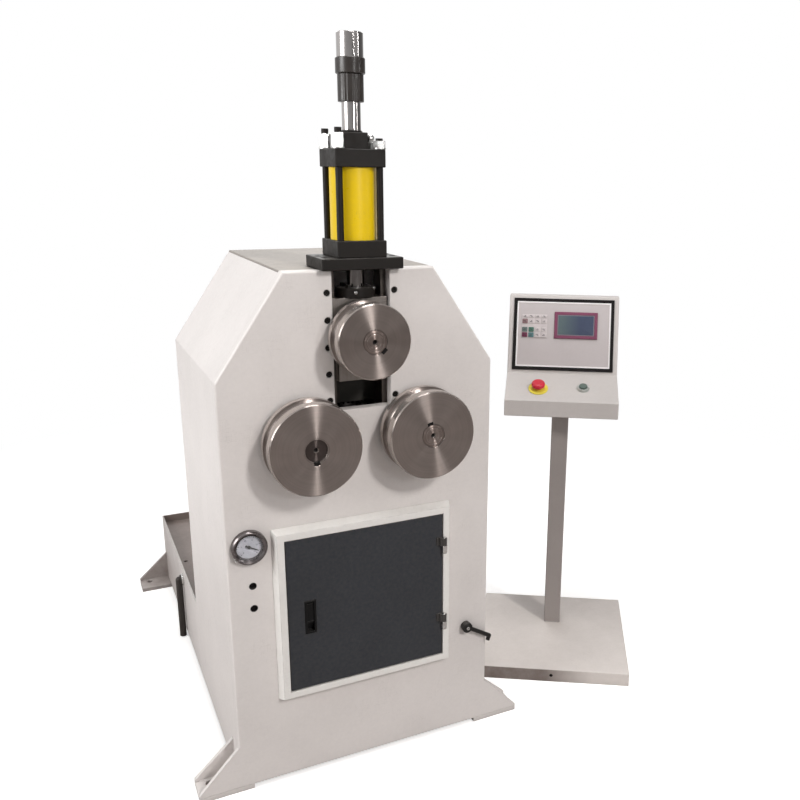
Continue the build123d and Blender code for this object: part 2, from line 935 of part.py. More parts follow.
def make_top_sleeve():
    """The bright sleeve screwed on the rod's upper end."""
    zs = (sleeve_z, sleeve_z + sleeve_tall)
    sleeve = rod_z(0, cylinder_y, sleeve_d, zs)
    sleeve = chamfer(sleeve.edges().group_by(Axis.Z)[-1], edge_break)
    return sleeve - rod_z(0, cylinder_y, rod_d + 2 * press_clear, (zs[0] - cut_over, zs[0] + sleeve_thread))


def make_rod_flange():
    """The flange that joins the rod to the slide block, with its bolt heads."""
    zs = (coupling_z, coupling_z + coupling_t)
    flange = round_collar(coupling_d, zs, rod_d + 2 * press_clear, edge_break)
    bolt_r = (rod_d + coupling_d) / 4
    for bolt in range(coupling_bolts):
        angle = (2 * bolt + 1) * math.pi / coupling_bolts
        x = bolt_r * math.cos(angle)
        y = cylinder_y + bolt_r * math.sin(angle)
        flange += hex_z(x, y, coupling_bolt_d, (zs[1], zs[1] + coupling_bolt_t))
    return flange


# Door


def door_edges(grow):
    """The door's x and z spans, grown on every side."""
    xs = (door_x - door_w / 2 - grow, door_x + door_w / 2 + grow)
    zs = (high(door_low_h) - grow, high(door_low_h + door_tall) + grow)
    return xs, zs


door_front_y = front_y - frame_t + door_sink
hinge_x = door_x + door_w / 2 + knuckle_off
hinge_y = front_y - frame_t - knuckle_d / 2 - face_clear


def frame_face(grow, y):
    """A rectangle round the door, grown on every side, at a y position."""
    xs, zs = door_edges(grow)
    middle = Plane.XZ.offset(-y) * Pos((xs[0] + xs[1]) / 2, (zs[0] + zs[1]) / 2)
    return middle * Rectangle(xs[1] - xs[0], zs[1] - zs[0])


def make_door_frame():
    """The raised frame round the door, with sloped outer sides."""
    outer = loft([frame_face(door_gap + frame_bar + frame_spread, front_y),
                  frame_face(door_gap + frame_bar, front_y - frame_t)])
    xs, zs = door_edges(door_gap)
    return outer - block(xs, over((front_y - frame_t, front_y)), zs)


def make_door_panel():
    """The door: a folded sheet tray with a cut-out for the latch."""
    xs, zs = door_edges(0)
    ys = (door_front_y, door_front_y + door_t)
    panel = block(xs, ys, zs)
    panel = chamfer(panel.faces().sort_by(Axis.Y)[0].edges(), door_edge)
    inner_xs, inner_zs = door_edges(-door_sheet)
    panel -= block(inner_xs, (door_front_y + door_sheet, ys[1] + cut_over), inner_zs)
    cut_x = latch_w / 2 - latch_flange + face_clear
    cut_z = latch_tall / 2 - latch_flange + face_clear
    cut_zs = (latch_z - cut_z, latch_z + cut_z)
    return panel - block((latch_x - cut_x, latch_x + cut_x), over(ys), cut_zs)


def make_hinge_pins():
    """The fixed lower knuckles on the frame, with the pins that the door lifts on to."""
    hinges = []
    for z in hinge_levels:
        zs = (z - knuckle_tall, z)
        knuckle = rod_z(hinge_x, hinge_y, knuckle_d, zs)
        knuckle += block((hinge_x, hinge_x + hinge_arm), (hinge_y, front_y - frame_t), zs)
        hinges.append(knuckle + rod_z(hinge_x, hinge_y, hinge_pin_d, (zs[1], zs[1] + knuckle_tall)))
    return group(hinges)


def make_hinge_leaves():
    """The upper knuckles with their leaves on the door's face."""
    leaves = []
    edge_x = door_x + door_w / 2 - knuckle_off
    for z in hinge_levels:
        zs = (z + face_clear, z + knuckle_tall)
        leaf = rod_z(hinge_x, hinge_y, knuckle_d, zs)
        leaf += block((edge_x - hinge_arm, hinge_x), (hinge_y - leaf_t / 2, hinge_y + leaf_t / 2), zs)
        leaf += block((edge_x - hinge_arm, edge_x), (hinge_y - leaf_t / 2, door_front_y), zs)
        leaf += block((edge_x - leaf_w, edge_x), (door_front_y - leaf_t, door_front_y), zs)
        leaves.append(leaf - rod_z(hinge_x, hinge_y, hinge_pin_d + 2 * run_clear, over(zs)))
    return group(leaves)


paddle_pin_y = door_front_y + paddle_t
paddle_pin_z = latch_z + latch_tall / 2 - latch_flange - latch_wall - paddle_top - paddle_pin_d


def make_latch_cup():
    """The recessed cup of the door's latch."""
    flange = block(
        (latch_x - latch_w / 2, latch_x + latch_w / 2),
        (door_front_y - latch_flange_t, door_front_y),
        (latch_z - latch_tall / 2, latch_z + latch_tall / 2),
    )
    flange = chamfer(flange.faces().sort_by(Axis.Y)[0].edges(), latch_edge)
    half_x = latch_w / 2 - latch_flange
    half_z = latch_tall / 2 - latch_flange
    cup = flange + block(
        (latch_x - half_x, latch_x + half_x),
        (door_front_y, door_front_y + latch_deep),
        (latch_z - half_z, latch_z + half_z),
    )
    in_x = half_x - latch_wall
    in_z = half_z - latch_wall
    cup -= block(
        (latch_x - in_x, latch_x + in_x),
        (door_front_y - latch_flange_t - cut_over, door_front_y + latch_deep - latch_wall),
        (latch_z - in_z, latch_z + in_z),
    )
    pin_d = paddle_pin_d + 2 * run_clear
    return cup - rod_x(paddle_pin_y, paddle_pin_z, pin_d, (latch_x - half_x, latch_x + half_x))


def make_latch_paddle():
    """The paddle that is pulled out of the cup to open the door."""
    half_x = latch_w / 2 - latch_flange - latch_wall - face_clear
    ys = (paddle_pin_y - paddle_t / 2, paddle_pin_y + paddle_t / 2)
    zs = (paddle_pin_z - paddle_tall, paddle_pin_z + paddle_pin_d)
    paddle = block((latch_x - half_x, latch_x + half_x), ys, zs)
    paddle = fillet(paddle.edges().filter_by(Axis.X), paddle_round)
    pin_x = latch_w / 2 - latch_flange
    return paddle + rod_x(paddle_pin_y, paddle_pin_z, paddle_pin_d, (latch_x - pin_x, latch_x + pin_x))


# Pressure gauge


gauge_z = high(gauge_h)
gauge_floor_y = front_y - gauge_floor


def make_gauge_case():
    """The gauge's case with its bezel, through the front plate."""
    bezel_r = gauge_d / 2
    outline = [
        (0, gauge_floor_y),
        (bezel_r - gauge_bezel, gauge_floor_y),
        (bezel_r - gauge_bezel, front_y - gauge_proud + bezel_slope),
        (bezel_r - 2 * bezel_crest, front_y - gauge_proud),
        (bezel_r - bezel_crest, front_y - gauge_proud),
        (bezel_r, front_y - gauge_proud + bezel_slope),
        (bezel_r, front_y),
        (gauge_body_d / 2, front_y),
        (gauge_body_d / 2, front_y + gauge_back),
        (0, front_y + gauge_back),
    ]
    case = turned_y(gauge_x, gauge_z, outline)
    arbor_ys = (gauge_floor_y - cut_over, gauge_floor_y + arbor_seat + face_clear)
    return case - rod_y(gauge_x, gauge_z, arbor_d + 2 * run_clear, arbor_ys)


def make_gauge_dial():
    """The dial plate on the case's floor."""
    ys = (gauge_floor_y - dial_t, gauge_floor_y)
    dial = rod_y(gauge_x, gauge_z, gauge_d - 2 * gauge_bezel - 2 * side_clear, ys)
    return dial - rod_y(gauge_x, gauge_z, arbor_d + 2 * run_clear, over(ys))


def make_gauge_needle():
    """The needle with its hub and arbor."""
    back = gauge_floor_y - dial_t - needle_lift
    ys = (back - needle_t, back)
    points = [
        (-needle_tail, -needle_w / 2),
        (needle_len, -needle_tip_w / 2),
        (needle_len, needle_tip_w / 2),
        (-needle_tail, needle_w / 2),
    ]
    arm = plate_y(points, ys)
    arm += rod_y(0, 0, needle_hub_d, (ys[0] - needle_hub_lift, ys[1]))
    arm += rod_y(0, 0, arbor_d, (ys[1], gauge_floor_y + arbor_seat))
    return Pos(gauge_x, 0, gauge_z) * Rot(0, -needle_angle, 0) * arm


# Hand valve and conduit


valve_z = high(valve_h)
valve_face_y = front_y - valve_neck


def make_valve_body():
    """The valve behind the front plate, with its neck through the plate."""
    half = valve_body_w / 2
    body_zs = (valve_z - half, valve_z + half)
    body = block((valve_x - half, valve_x + half), (back_y, back_y + valve_body_d), body_zs)
    body += rod_y(valve_x, valve_z, valve_neck_d, (valve_face_y, back_y))
    stem_ys = (valve_face_y - cut_over, back_y + stem_seat)
    return body - rod_y(valve_x, valve_z, stem_d + 2 * run_clear, stem_ys)


def make_valve_lever():
    """The lever with its hub, its stem and a hooked end."""
    hub_ys = (valve_face_y - face_clear - lever_hub_t, valve_face_y - face_clear)
    hub = rod_y(valve_x, valve_z, lever_hub_d, hub_ys)
    hub = chamfer(hub.edges().group_by(Axis.Y)[0], edge_break)
    lever = hub + rod_y(valve_x, valve_z, stem_d, (hub_ys[1], back_y + stem_seat - face_clear))
    arm_y = (hub_ys[0] + hub_ys[1]) / 2
    arm = rod_x(0, 0, lever_arm_d, (0, lever_len))
    lever += Pos(valve_x, arm_y, valve_z) * Rot(0, -lever_angle, 0) * arm
    end_x = valve_x + lever_len * math.cos(math.radians(lever_angle))
    end_z = valve_z + lever_len * math.sin(math.radians(lever_angle))
    lever += Pos(end_x, arm_y, end_z) * Sphere(lever_arm_d / 2)
    hook = rod_x(0, 0, lever_arm_d, (0, lever_hook))
    return lever + Pos(end_x, arm_y, end_z) * Rot(0, -lever_hook_angle, 0) * hook


def make_conduit():
    """The conduit that leaves the left wall through a gland and drops to just above the floor."""
    wall_x = -half_w
    pipe_x = wall_x - conduit_off
    y = deep(conduit_deep)
    z = high(conduit_h)
    conduit = rod_x(y, z, conduit_gland_d, (wall_x - conduit_gland_len, wall_x))
    conduit += rod_x(y, z, conduit_d, (pipe_x, wall_x))
    conduit += Pos(pipe_x, y, z) * Sphere(conduit_d / 2)
    return conduit + rod_z(pipe_x, y, conduit_d, (conduit_lift, z))


# Drive and hydraulic unit


def make_gear_motor():
    """The gear motor bolted behind the bulkhead."""
    start = deep(bulkhead_deep) + bulkhead_t
    half = gearbox_w / 2
    motor = block((-half, half), (start, start + gearbox_d), (axis_z - half, axis_z + half))
    motor = chamfer(motor.edges().filter_by(Axis.Y), gearbox_bevel)
    motor += rod_y(0, axis_z, motor_d, (start + gearbox_d, start + gearbox_d + motor_len))
    return motor - rod_y(0, axis_z, pinion_shaft_d + 2 * run_clear, over((start, start + pinion_seat)))


def make_oil_tank():
    """The oil tank on the deck, with its lid."""
    z = high(deck_h)
    xs = (-tank_w / 2, tank_w / 2)
    ys = (deep(tank_deep), deep(tank_deep) + tank_d)
    tank = block(xs, ys, (z, z + tank_tall))
    tank = fillet(tank.edges().filter_by(Axis.Z), tank_round)
    lid_zs = (z + tank_tall, z + tank_tall + tank_lid)
    lid = block((xs[0] - tank_lid, xs[1] + tank_lid), (ys[0] - tank_lid, ys[1] + tank_lid), lid_zs)
    hollow = block(
        (xs[0] + tank_wall, xs[1] - tank_wall),
        (ys[0] + tank_wall, ys[1] - tank_wall),
        (z + tank_wall, z + tank_tall),
    )
    return tank + lid - hollow - rod_z(0, ys[1] - pump_in, tank_mouth_d, over(lid_zs))


def make_pump_motor():
    """The pump's motor, upright on the tank's lid."""
    z = high(deck_h) + tank_tall + tank_lid
    y = deep(tank_deep) + tank_d - pump_in
    motor = rod_z(0, y, pump_flange_d, (z, z + pump_flange_t))
    body = rod_z(0, y, pump_motor_d, (z + pump_flange_t, z + pump_flange_t + pump_motor_len))
    return motor + chamfer(body.edges().group_by(Axis.Z)[-1], pump_bevel)


# Operator's desk, made about its post with its front to -Y and then turned into place


desk_place = Pos(half_w + desk_off, deep(desk_deep), 0) * Rot(0, 0, desk_turn)
lip_z = desk_under + desk_lip
shelf_z = lip_z + shelf_rise
desk_top_z = shelf_z + panel_rise
shelf_back = shelf_run - desk_front
panel_back = shelf_back + panel_run
panel_len = math.hypot(panel_run, panel_rise)
gasket_w = desk_w - 2 * gasket_margin
gasket_tall = panel_len - 2 * gasket_end
keypad_x = screen_x - (screen_w + keypad_w) / 2 - keypad_gap
shelf_plane = Plane(
    origin=(0, (shelf_back - desk_front) / 2, (lip_z + shelf_z) / 2),
    x_dir=(1, 0, 0),
    z_dir=(0, -shelf_rise, shelf_run),
)
panel_plane = Plane(
    origin=(0, panel_back, desk_top_z),
    x_dir=(1, 0, 0),
    z_dir=(0, -panel_rise, panel_run),
)


def on_panel(x, down):
    """A place on the sloped panel, by its distance from the middle and from the top edge."""
    return panel_plane.location * Pos(x, -down, 0)


def on_shelf(x, ahead):
    """A place on the shelf, by its distances to the right and ahead of the shelf's middle."""
    return shelf_plane.location * Pos(x, -ahead, 0)


def make_slab():
    """The folded tray that the post stands on."""
    mid_y = -post_back
    half = slab_w / 2
    slab = block((-half, half), (mid_y - half, mid_y + half), (0, slab_tall))
    slab = chamfer(slab.edges().group_by(Axis.Z)[-1], edge_break)
    inner = half - slab_sheet
    slab -= block((-inner, inner), (mid_y - inner, mid_y + inner), (-cut_over, slab_tall - slab_sheet))
    slab -= rod_y(0, slab_tall / 2, slab_hole_d, over((mid_y - half, mid_y - inner)))
    return desk_place * slab


def make_post():
    """The square tube post."""
    half = post_w / 2
    zs = (slab_tall, desk_under)
    post = block((-half, half), (-half, half), zs)
    post = fillet(post.edges().filter_by(Axis.Z), post_round)
    inner = half - post_wall
    return desk_place * (post - block((-inner, inner), (-inner, inner), over(zs)))


def desk_profile():
    """The desk's side outline in y and z."""
    points = [
        (-desk_front, desk_under),
        (-desk_front, lip_z),
        (shelf_back, shelf_z),
        (panel_back, desk_top_z),
        (panel_back + desk_top_d, desk_top_z),
        (panel_back + desk_top_d, desk_under),
    ]
    return Polygon(*points, align=None)


def make_desk_shell():
    """The desk's sheet metal case, with its holes for the screen and the buttons."""
    upright = Plane.YZ.offset(-desk_w / 2)
    case = extrude(upright * desk_profile(), amount=desk_w, dir=(1, 0, 0))
    case = fillet(case.edges(), desk_round)
    hollow = offset(desk_profile(), amount=-desk_sheet, kind=Kind.INTERSECTION)
    inner = Plane.YZ.offset(-desk_w / 2 + desk_sheet)
    case -= extrude(inner * hollow, amount=desk_w - 2 * desk_sheet, dir=(1, 0, 0))
    case -= on_panel(screen_x, screen_down) * screen_back(side_clear, desk_sheet)
    case -= on_shelf(estop_x, estop_ahead) * Cylinder(estop_body_d / 2 + side_clear, button_body_len)
    case -= on_shelf(start_x, start_ahead) * Cylinder(start_body_d / 2 + side_clear, button_body_len)
    return desk_place * case


def make_gasket_frame():
    """The black frame round the fascia."""
    frame = Box(gasket_w, gasket_tall, gasket_t)
    frame -= Box(gasket_w - 2 * gasket_border, gasket_tall - 2 * gasket_border, gasket_t)
    return desk_place * on_panel(0, panel_len / 2) * Pos(0, 0, gasket_t / 2) * frame


def make_fascia():
    """The pale panel inside the frame, with its cut-out for the screen."""
    width = gasket_w - 2 * gasket_border - 2 * side_clear
    tall = gasket_tall - 2 * gasket_border - 2 * side_clear
    plate = on_panel(0, panel_len / 2) * Pos(0, 0, fascia_t / 2) * Box(width, tall, fascia_t)
    plate -= on_panel(screen_x, screen_down) * screen_back(side_clear, fascia_t + cut_over)
    return desk_place * plate


def screen_back(grow, front):
    """The screen's body behind its bezel, grown sideways, up to a front position."""
    width = screen_w - 2 * screen_back_in + 2 * grow
    tall = screen_tall - 2 * screen_back_in + 2 * grow
    return Pos(0, 0, (front - screen_back_d) / 2) * Box(width, tall, front + screen_back_d)


def make_screen():
    """The operator's screen with its bezel and sunken display."""
    bezel = Pos(0, 0, fascia_t + screen_t / 2) * Box(screen_w, screen_tall, screen_t)
    bezel = chamfer(bezel.faces().sort_by(Axis.Z)[-1].edges(), edge_break)
    display = Box(screen_w - 2 * screen_border, screen_tall - 2 * screen_border, 2 * screen_sink)
    screen = bezel - Pos(0, 0, fascia_t + screen_t) * display + screen_back(0, fascia_t)
    return desk_place * on_panel(screen_x, screen_down) * screen


def make_keypad():
    """The keypad's plate with its raised keys."""
    pad = Pos(0, 0, fascia_t + keypad_t / 2) * Box(keypad_w, keypad_tall, keypad_t)
    pitch_x = (keypad_w - key_gap) / key_columns
    pitch_y = (keypad_tall - key_gap) / key_rows
    key = Box(pitch_x - key_gap, pitch_y - key_gap, key_cap_t)
    for column in range(key_columns):
        for row in range(key_rows):
            x = (column - (key_columns - 1) / 2) * pitch_x
            y = (row - (key_rows - 1) / 2) * pitch_y
            pad += Pos(x, y, fascia_t + keypad_t + key_cap_t / 2) * key
    return desk_place * on_panel(keypad_x, keypad_down) * pad


def make_estop_ring():
    """The stop button's yellow ring, with its collar and its body under the shelf."""
    outline = [
        (estop_stem_d / 2 + run_clear, -button_body_len),
        (estop_body_d / 2, -button_body_len),
        (estop_body_d / 2, 0),
        (estop_ring_d / 2, 0),
        (estop_ring_d / 2, estop_ring_t),
        (estop_collar_d / 2, estop_ring_t),
        (estop_collar_d / 2, estop_collar_t),
        (estop_stem_d / 2 + run_clear, estop_collar_t),
    ]
    return desk_place * on_shelf(estop_x, estop_ahead) * turned_z(0, 0, outline)


def make_estop_button():
    """The red mushroom button with its stem."""
    under = estop_collar_t + estop_rest_gap + estop_travel
    head = Pos(0, 0, under + mushroom_t / 2) * Cylinder(mushroom_d / 2, mushroom_t)
    head = fillet(head.edges().group_by(Axis.Z)[-1], mushroom_round)
    head = chamfer(head.edges().group_by(Axis.Z)[0], mushroom_under)
    stem = rod_z(0, 0, estop_stem_d, (estop_travel - button_body_len, under))
    return desk_place * on_shelf(estop_x, estop_ahead) * (head + stem)


def make_start_bezel():
    """The start button's bezel with its body under the shelf."""
    inner = start_cap_d / 2 + run_clear
    outline = [
        (inner, -button_body_len),
        (start_body_d / 2, -button_body_len),
        (start_body_d / 2, 0),
        (start_bezel_d / 2, 0),
        (start_bezel_d / 2 - start_bezel_slope, start_bezel_t),
        (inner, start_bezel_t),
    ]
    return desk_place * on_shelf(start_x, start_ahead) * turned_z(0, 0, outline)


def make_start_button():
    """The green start button."""
    cap = rod_z(0, 0, start_cap_d, (start_cap_proud - start_cap_len, start_cap_proud))
    cap = fillet(cap.edges().group_by(Axis.Z)[-1], start_cap_round)
    return desk_place * on_shelf(start_x, start_ahead) * cap


# All the pieces, by name

left_x = -roller_span / 2
right_x = roller_span / 2
bearing_y = deep(bearing_deep)
lower_hub_end = bearing_y - face_clear
top_hub_end = deep(slide_front_deep) - face_clear
rear_bearing_y = deep(bulkhead_deep) + bulkhead_t - bearing_w
flange_back_y = slide_back_y()

pieces = {
    "front_plate": make_front_plate(),
    "left_side": make_side(-1),
    "right_side": make_side(1),
    "top_cover": make_top_cover(),
    "rear_wall": make_rear_wall(),
    "base_deck": make_base_deck(),
    "foot_brackets": group([make_foot(side, front) for side in (-1, 1) for front in (True, False)]),
    "bearing_plate": make_bulkhead(),
    "lower_bearings": group([make_bearing(x, axis_z, bearing_d, y)
                             for x in (left_x, right_x) for y in (bearing_y, rear_bearing_y)]),
    "slide_gibs": both_sides(make_gib),
    "cap_screws": make_cap_screws(),
    "cylinder_flange": make_cylinder_flange(),
    "lower_cap": make_cap((flange_z, lower_cap_z)),
    "barrel": rod_z(0, cylinder_y, barrel_d, (lower_cap_z, barrel_z))
    - rod_z(0, cylinder_y, bore_d, (lower_cap_z, barrel_z)),
    "upper_cap": make_cap((barrel_z, upper_cap_z)),
    "rod_gland": square_block(gland_w, gland_w, (upper_cap_z, gland_z), rod_d + 2 * run_clear),
    "tie_rods": make_tie_rods(),
    "tie_nuts": make_tie_nuts(),
    "port_fittings": make_port_fittings(),
    "door_frame": make_door_frame(),
    "hinge_pins": make_hinge_pins(),
    "gauge_case": make_gauge_case(),
    "gauge_dial": make_gauge_dial(),
    "valve_body": make_valve_body(),
    "conduit": make_conduit(),
    "gear_motor": make_gear_motor(),
    "oil_tank": make_oil_tank(),
    "pump_motor": make_pump_motor(),
    "console_slab": make_slab(),
    "console_post": make_post(),
    "desk_shell": make_desk_shell(),
    "gasket_frame": make_gasket_frame(),
    "fascia": make_fascia(),
    "keypad": make_keypad(),
    "screen": make_screen(),
    "estop_ring": make_estop_ring(),
    "start_bezel": make_start_bezel(),
    "door_panel": make_door_panel(),
    "hinge_leaves": make_hinge_leaves(),
    "latch_cup": make_latch_cup(),
    "latch_paddle": make_latch_paddle(),
    "valve_lever": make_valve_lever(),
    "gauge_needle": make_gauge_needle(),
    "estop_button": make_estop_button(),
    "start_button": make_start_button(),
    "piston_rod": make_piston_rod(),
    "stop_collar": make_stop_collar(),
    "top_sleeve": make_top_sleeve(),
    "rod_flange": make_rod_flange(),
    "slide_block": make_slide_block(),
    "top_bearings": group([make_bearing(0, top_axis_z, top_bearing_d, y)
                           for y in (deep(slide_front_deep), flange_back_y - bearing_w)]),
    "top_roller": make_roller(0, top_axis_z, top_roller_d, top_hub_end, top_key_angle),
    "top_shaft": make_shaft(0, top_axis_z, shaft_set, flange_back_y, top_key_angle),
    "left_roller": make_roller(left_x, axis_z, lower_roller_d, lower_hub_end, left_key_angle),
    "left_shaft": make_lower_shaft(-1, left_shaft_set, left_key_angle),
    "left_gear": make_roller_gear(left_x, left_key_angle),
    "right_roller": make_roller(right_x, axis_z, lower_roller_d, lower_hub_end, right_key_angle),
    "right_shaft": make_lower_shaft(1, shaft_set, right_key_angle),
    "right_gear": make_roller_gear(right_x, right_key_angle),
    "drive_pinion": make_pinion(),
}

os.makedirs("parts", exist_ok=True)
for name, piece in pieces.items():
    export_step(piece, f"parts/{name}.step")
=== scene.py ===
import logging
import math
from collections.abc import Iterable, Sequence
from dataclasses import dataclass, replace
from enum import Enum
from functools import cached_property
from typing import Any, ClassVar

import bmesh
import bpy
from mathutils import Matrix, Vector


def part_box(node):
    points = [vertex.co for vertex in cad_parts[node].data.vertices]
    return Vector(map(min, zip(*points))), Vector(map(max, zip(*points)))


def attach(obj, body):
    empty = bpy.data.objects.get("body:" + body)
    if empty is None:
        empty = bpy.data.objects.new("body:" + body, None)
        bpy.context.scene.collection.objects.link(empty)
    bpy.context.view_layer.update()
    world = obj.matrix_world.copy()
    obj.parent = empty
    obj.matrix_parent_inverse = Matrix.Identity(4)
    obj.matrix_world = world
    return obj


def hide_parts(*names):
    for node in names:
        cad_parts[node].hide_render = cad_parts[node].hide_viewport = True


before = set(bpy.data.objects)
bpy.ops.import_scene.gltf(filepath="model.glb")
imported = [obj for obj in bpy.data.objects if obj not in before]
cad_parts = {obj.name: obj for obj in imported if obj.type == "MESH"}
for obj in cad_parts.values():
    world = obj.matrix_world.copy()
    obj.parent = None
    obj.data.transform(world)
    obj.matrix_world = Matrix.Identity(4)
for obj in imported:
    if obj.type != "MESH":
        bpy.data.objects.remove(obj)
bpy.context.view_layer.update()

# The looks of a pipe rolling machine: a painted cabinet with three turned rollers, a hydraulic
# cylinder on top, a door, a gauge and a hand valve on its front, and an operator's desk beside it.
# Lengths are in metres, in the CAD model's frame: +X to the viewer's right, +Y to the back, +Z up.

MM = 0.001
SMOOTH_BELOW = math.radians(35)

Pair = tuple[float, float]
Point = tuple[float, float, float]
Colour = tuple[float, float, float, float]
Outline = Sequence[Pair]
Solid = bmesh.types.BMesh
Socket = bpy.types.NodeSocket
Feed = Socket | float | Sequence[float]

log = logging.getLogger("pipe_rolling_machine")


class Axis(Enum):
    """The machine's axes, which pieces are turned or laid along."""

    X = (1.0, 0.0, 0.0)
    Y = (0.0, 1.0, 0.0)
    Z = (0.0, 0.0, 1.0)


TO_RIGHT = Vector(Axis.X.value)
TO_BACK = Vector(Axis.Y.value)
TO_FRONT = Vector((0.0, -1.0, 0.0))
UP = Vector(Axis.Z.value)


class Body(str, Enum):
    """The machine's bodies that new pieces ride on."""

    CABINET = "cabinet"
    RAM = "ram"
    TOP_ROLLER = "top_roller_set"
    LEFT_ROLLER = "left_roller_set"
    RIGHT_ROLLER = "right_roller_set"
    DOOR = "door"
    LATCH = "latch"
    LEVER = "lever"


def tint(red: int, green: int, blue: int) -> Colour:
    """Give a screen colour in linear light.

    Args:
        red: Red from 0 to 255.
        green: Green from 0 to 255.
        blue: Blue from 0 to 255.

    Returns:
        The colour with an alpha of 1.
    """
    parts = [value / 255 for value in (red, green, blue)]
    linear = [part / 12.92 if part <= 0.04045 else ((part + 0.055) / 1.055) ** 2.4 for part in parts]
    return (*linear, 1.0)


def shade(colour: Colour, factor: float) -> Colour:
    """Make a colour darker or lighter."""
    return (*(min(part * factor, 1.0) for part in colour[:3]), 1.0)


WHITE: Colour = (1.0, 1.0, 1.0, 1.0)
DUST = tint(196, 190, 182)
# Tints the paint's fine mottle, and through the corner mask paints dirt and shade into corners.
SOIL_AND_SHADE = tint(120, 112, 106)
# Darkens a run of paint towards one side; on the slab it paints the cabinet's shadow.
OIL_SOIL_AND_SHADE = tint(118, 104, 98)
RUBBED_STEEL = shade(tint(150, 148, 146), factor=0.5)

# Most of a noise lies between these values.
NOISE_REACH = (0.3, 0.7)
# How many rays look for edges and corners.
FEELERS = 4


class Graph:
    """Adds nodes to one node tree and joins them."""

    def __init__(self, tree: bpy.types.NodeTree) -> None:
        """Take the node tree to work in."""
        self.tree = tree

    def feed(self, socket: Socket, value: Feed) -> None:
        """Link a socket to another one, or set its constant.

        Args:
            socket: The input socket.
            value: An output socket, a number or a vector.
        """
        if isinstance(value, Socket):
            self.tree.links.new(value, socket)
        else:
            socket.default_value = value

    def add(self, kind: str, inputs: dict[str | int, Feed] | None = None, **settings: Any) -> bpy.types.Node:
        """Add a shader node.

        Args:
            kind: The node's type without its ShaderNode prefix.
            inputs: What goes into its sockets, by name or place.
            **settings: The node's own settings.

        Returns:
            The new node.
        """
        node = self.tree.nodes.new("ShaderNode" + kind)
        for name, setting in settings.items():
            setattr(node, name, setting)
        for label, value in (inputs or {}).items():
            self.feed(node.inputs[label], value)
        return node

    def maths(self, operation: str, *values: Feed) -> Socket:
        """Work out a number from one to three others."""
        return self.add("Math", dict(enumerate(values)), operation=operation).outputs[0]

    def times(self, first: Feed, *others: Feed) -> Feed:
        """Multiply numbers.

        Args:
            first: The first number.
            *others: What it is multiplied by, one after the other.

        Returns:
            The product's socket.
        """
        for other in others:
            first = self.maths("MULTIPLY", first, other)
        return first

    def vector(self, operation: str, *values: Feed) -> Socket:
        """Work out a vector, or a number from vectors."""
        node = self.add("VectorMath", dict(enumerate(values)), operation=operation)
        return node.outputs["Value" if operation in ("DOT_PRODUCT", "LENGTH") else "Vector"]

    def span(self, value: Feed, low: Feed, high: Feed, start: Feed = 0.0, end: Feed = 1.0) -> Socket:
        """Map a number from one span to another and keep it inside."""
        ends = {"Value": value, "From Min": low, "From Max": high, "To Min": start, "To Max": end}
        return self.add("MapRange", ends).outputs["Result"]

    def mix(self, factor: Feed, first: Feed, second: Feed) -> Socket:
        """Mix two colours."""
        return self.add("Mix", {0: factor, 6: first, 7: second}, data_type="RGBA").outputs[2]

    def layered(self, colour: Feed, *layers: tuple[Feed, Feed]) -> Feed:
        """Lay colours over a first one.

        Args:
            colour: The first colour.
            *layers: The mask and the colour of each layer, from below.

        Returns:
            The last colour's socket.
        """
        for mask, over in layers:
            colour = self.mix(mask, colour, over)
        return colour

    def noise(
        self, scale: Feed, detail: float = 2.0, roughness: float = 0.5, where: Socket | None = None
    ) -> Socket:
        """Give a noise value over the surface.

        Args:
            scale: How many blots to a metre.
            detail: How many finer layers it has.
            roughness: How strong the finer layers are.
            where: The coordinates, if they aren't the surface's place.

        Returns:
            The value's socket.
        """
        spot = self.place() if where is None else where
        inputs = {"Vector": spot, "Scale": scale, "Detail": detail, "Roughness": roughness}
        return self.add("TexNoise", inputs).outputs["Fac"]

    def place(self) -> Socket:
        """Give the surface's place in the object's own coordinates."""
        return self.add("TexCoord").outputs["Object"]

    def facing(self, direction: Feed) -> Socket:
        """Give how far the surface faces a direction, from -1 to 1."""
        return self.vector("DOT_PRODUCT", self.add("NewGeometry").outputs["Normal"], direction)

    def bump(self, height: Feed, strength: float, distance: float, normal: Feed) -> Socket:
        """Tilt a normal by a height."""
        inputs = {"Height": height, "Strength": strength, "Distance": distance, "Normal": normal}
        return self.add("Bump", inputs).outputs["Normal"]


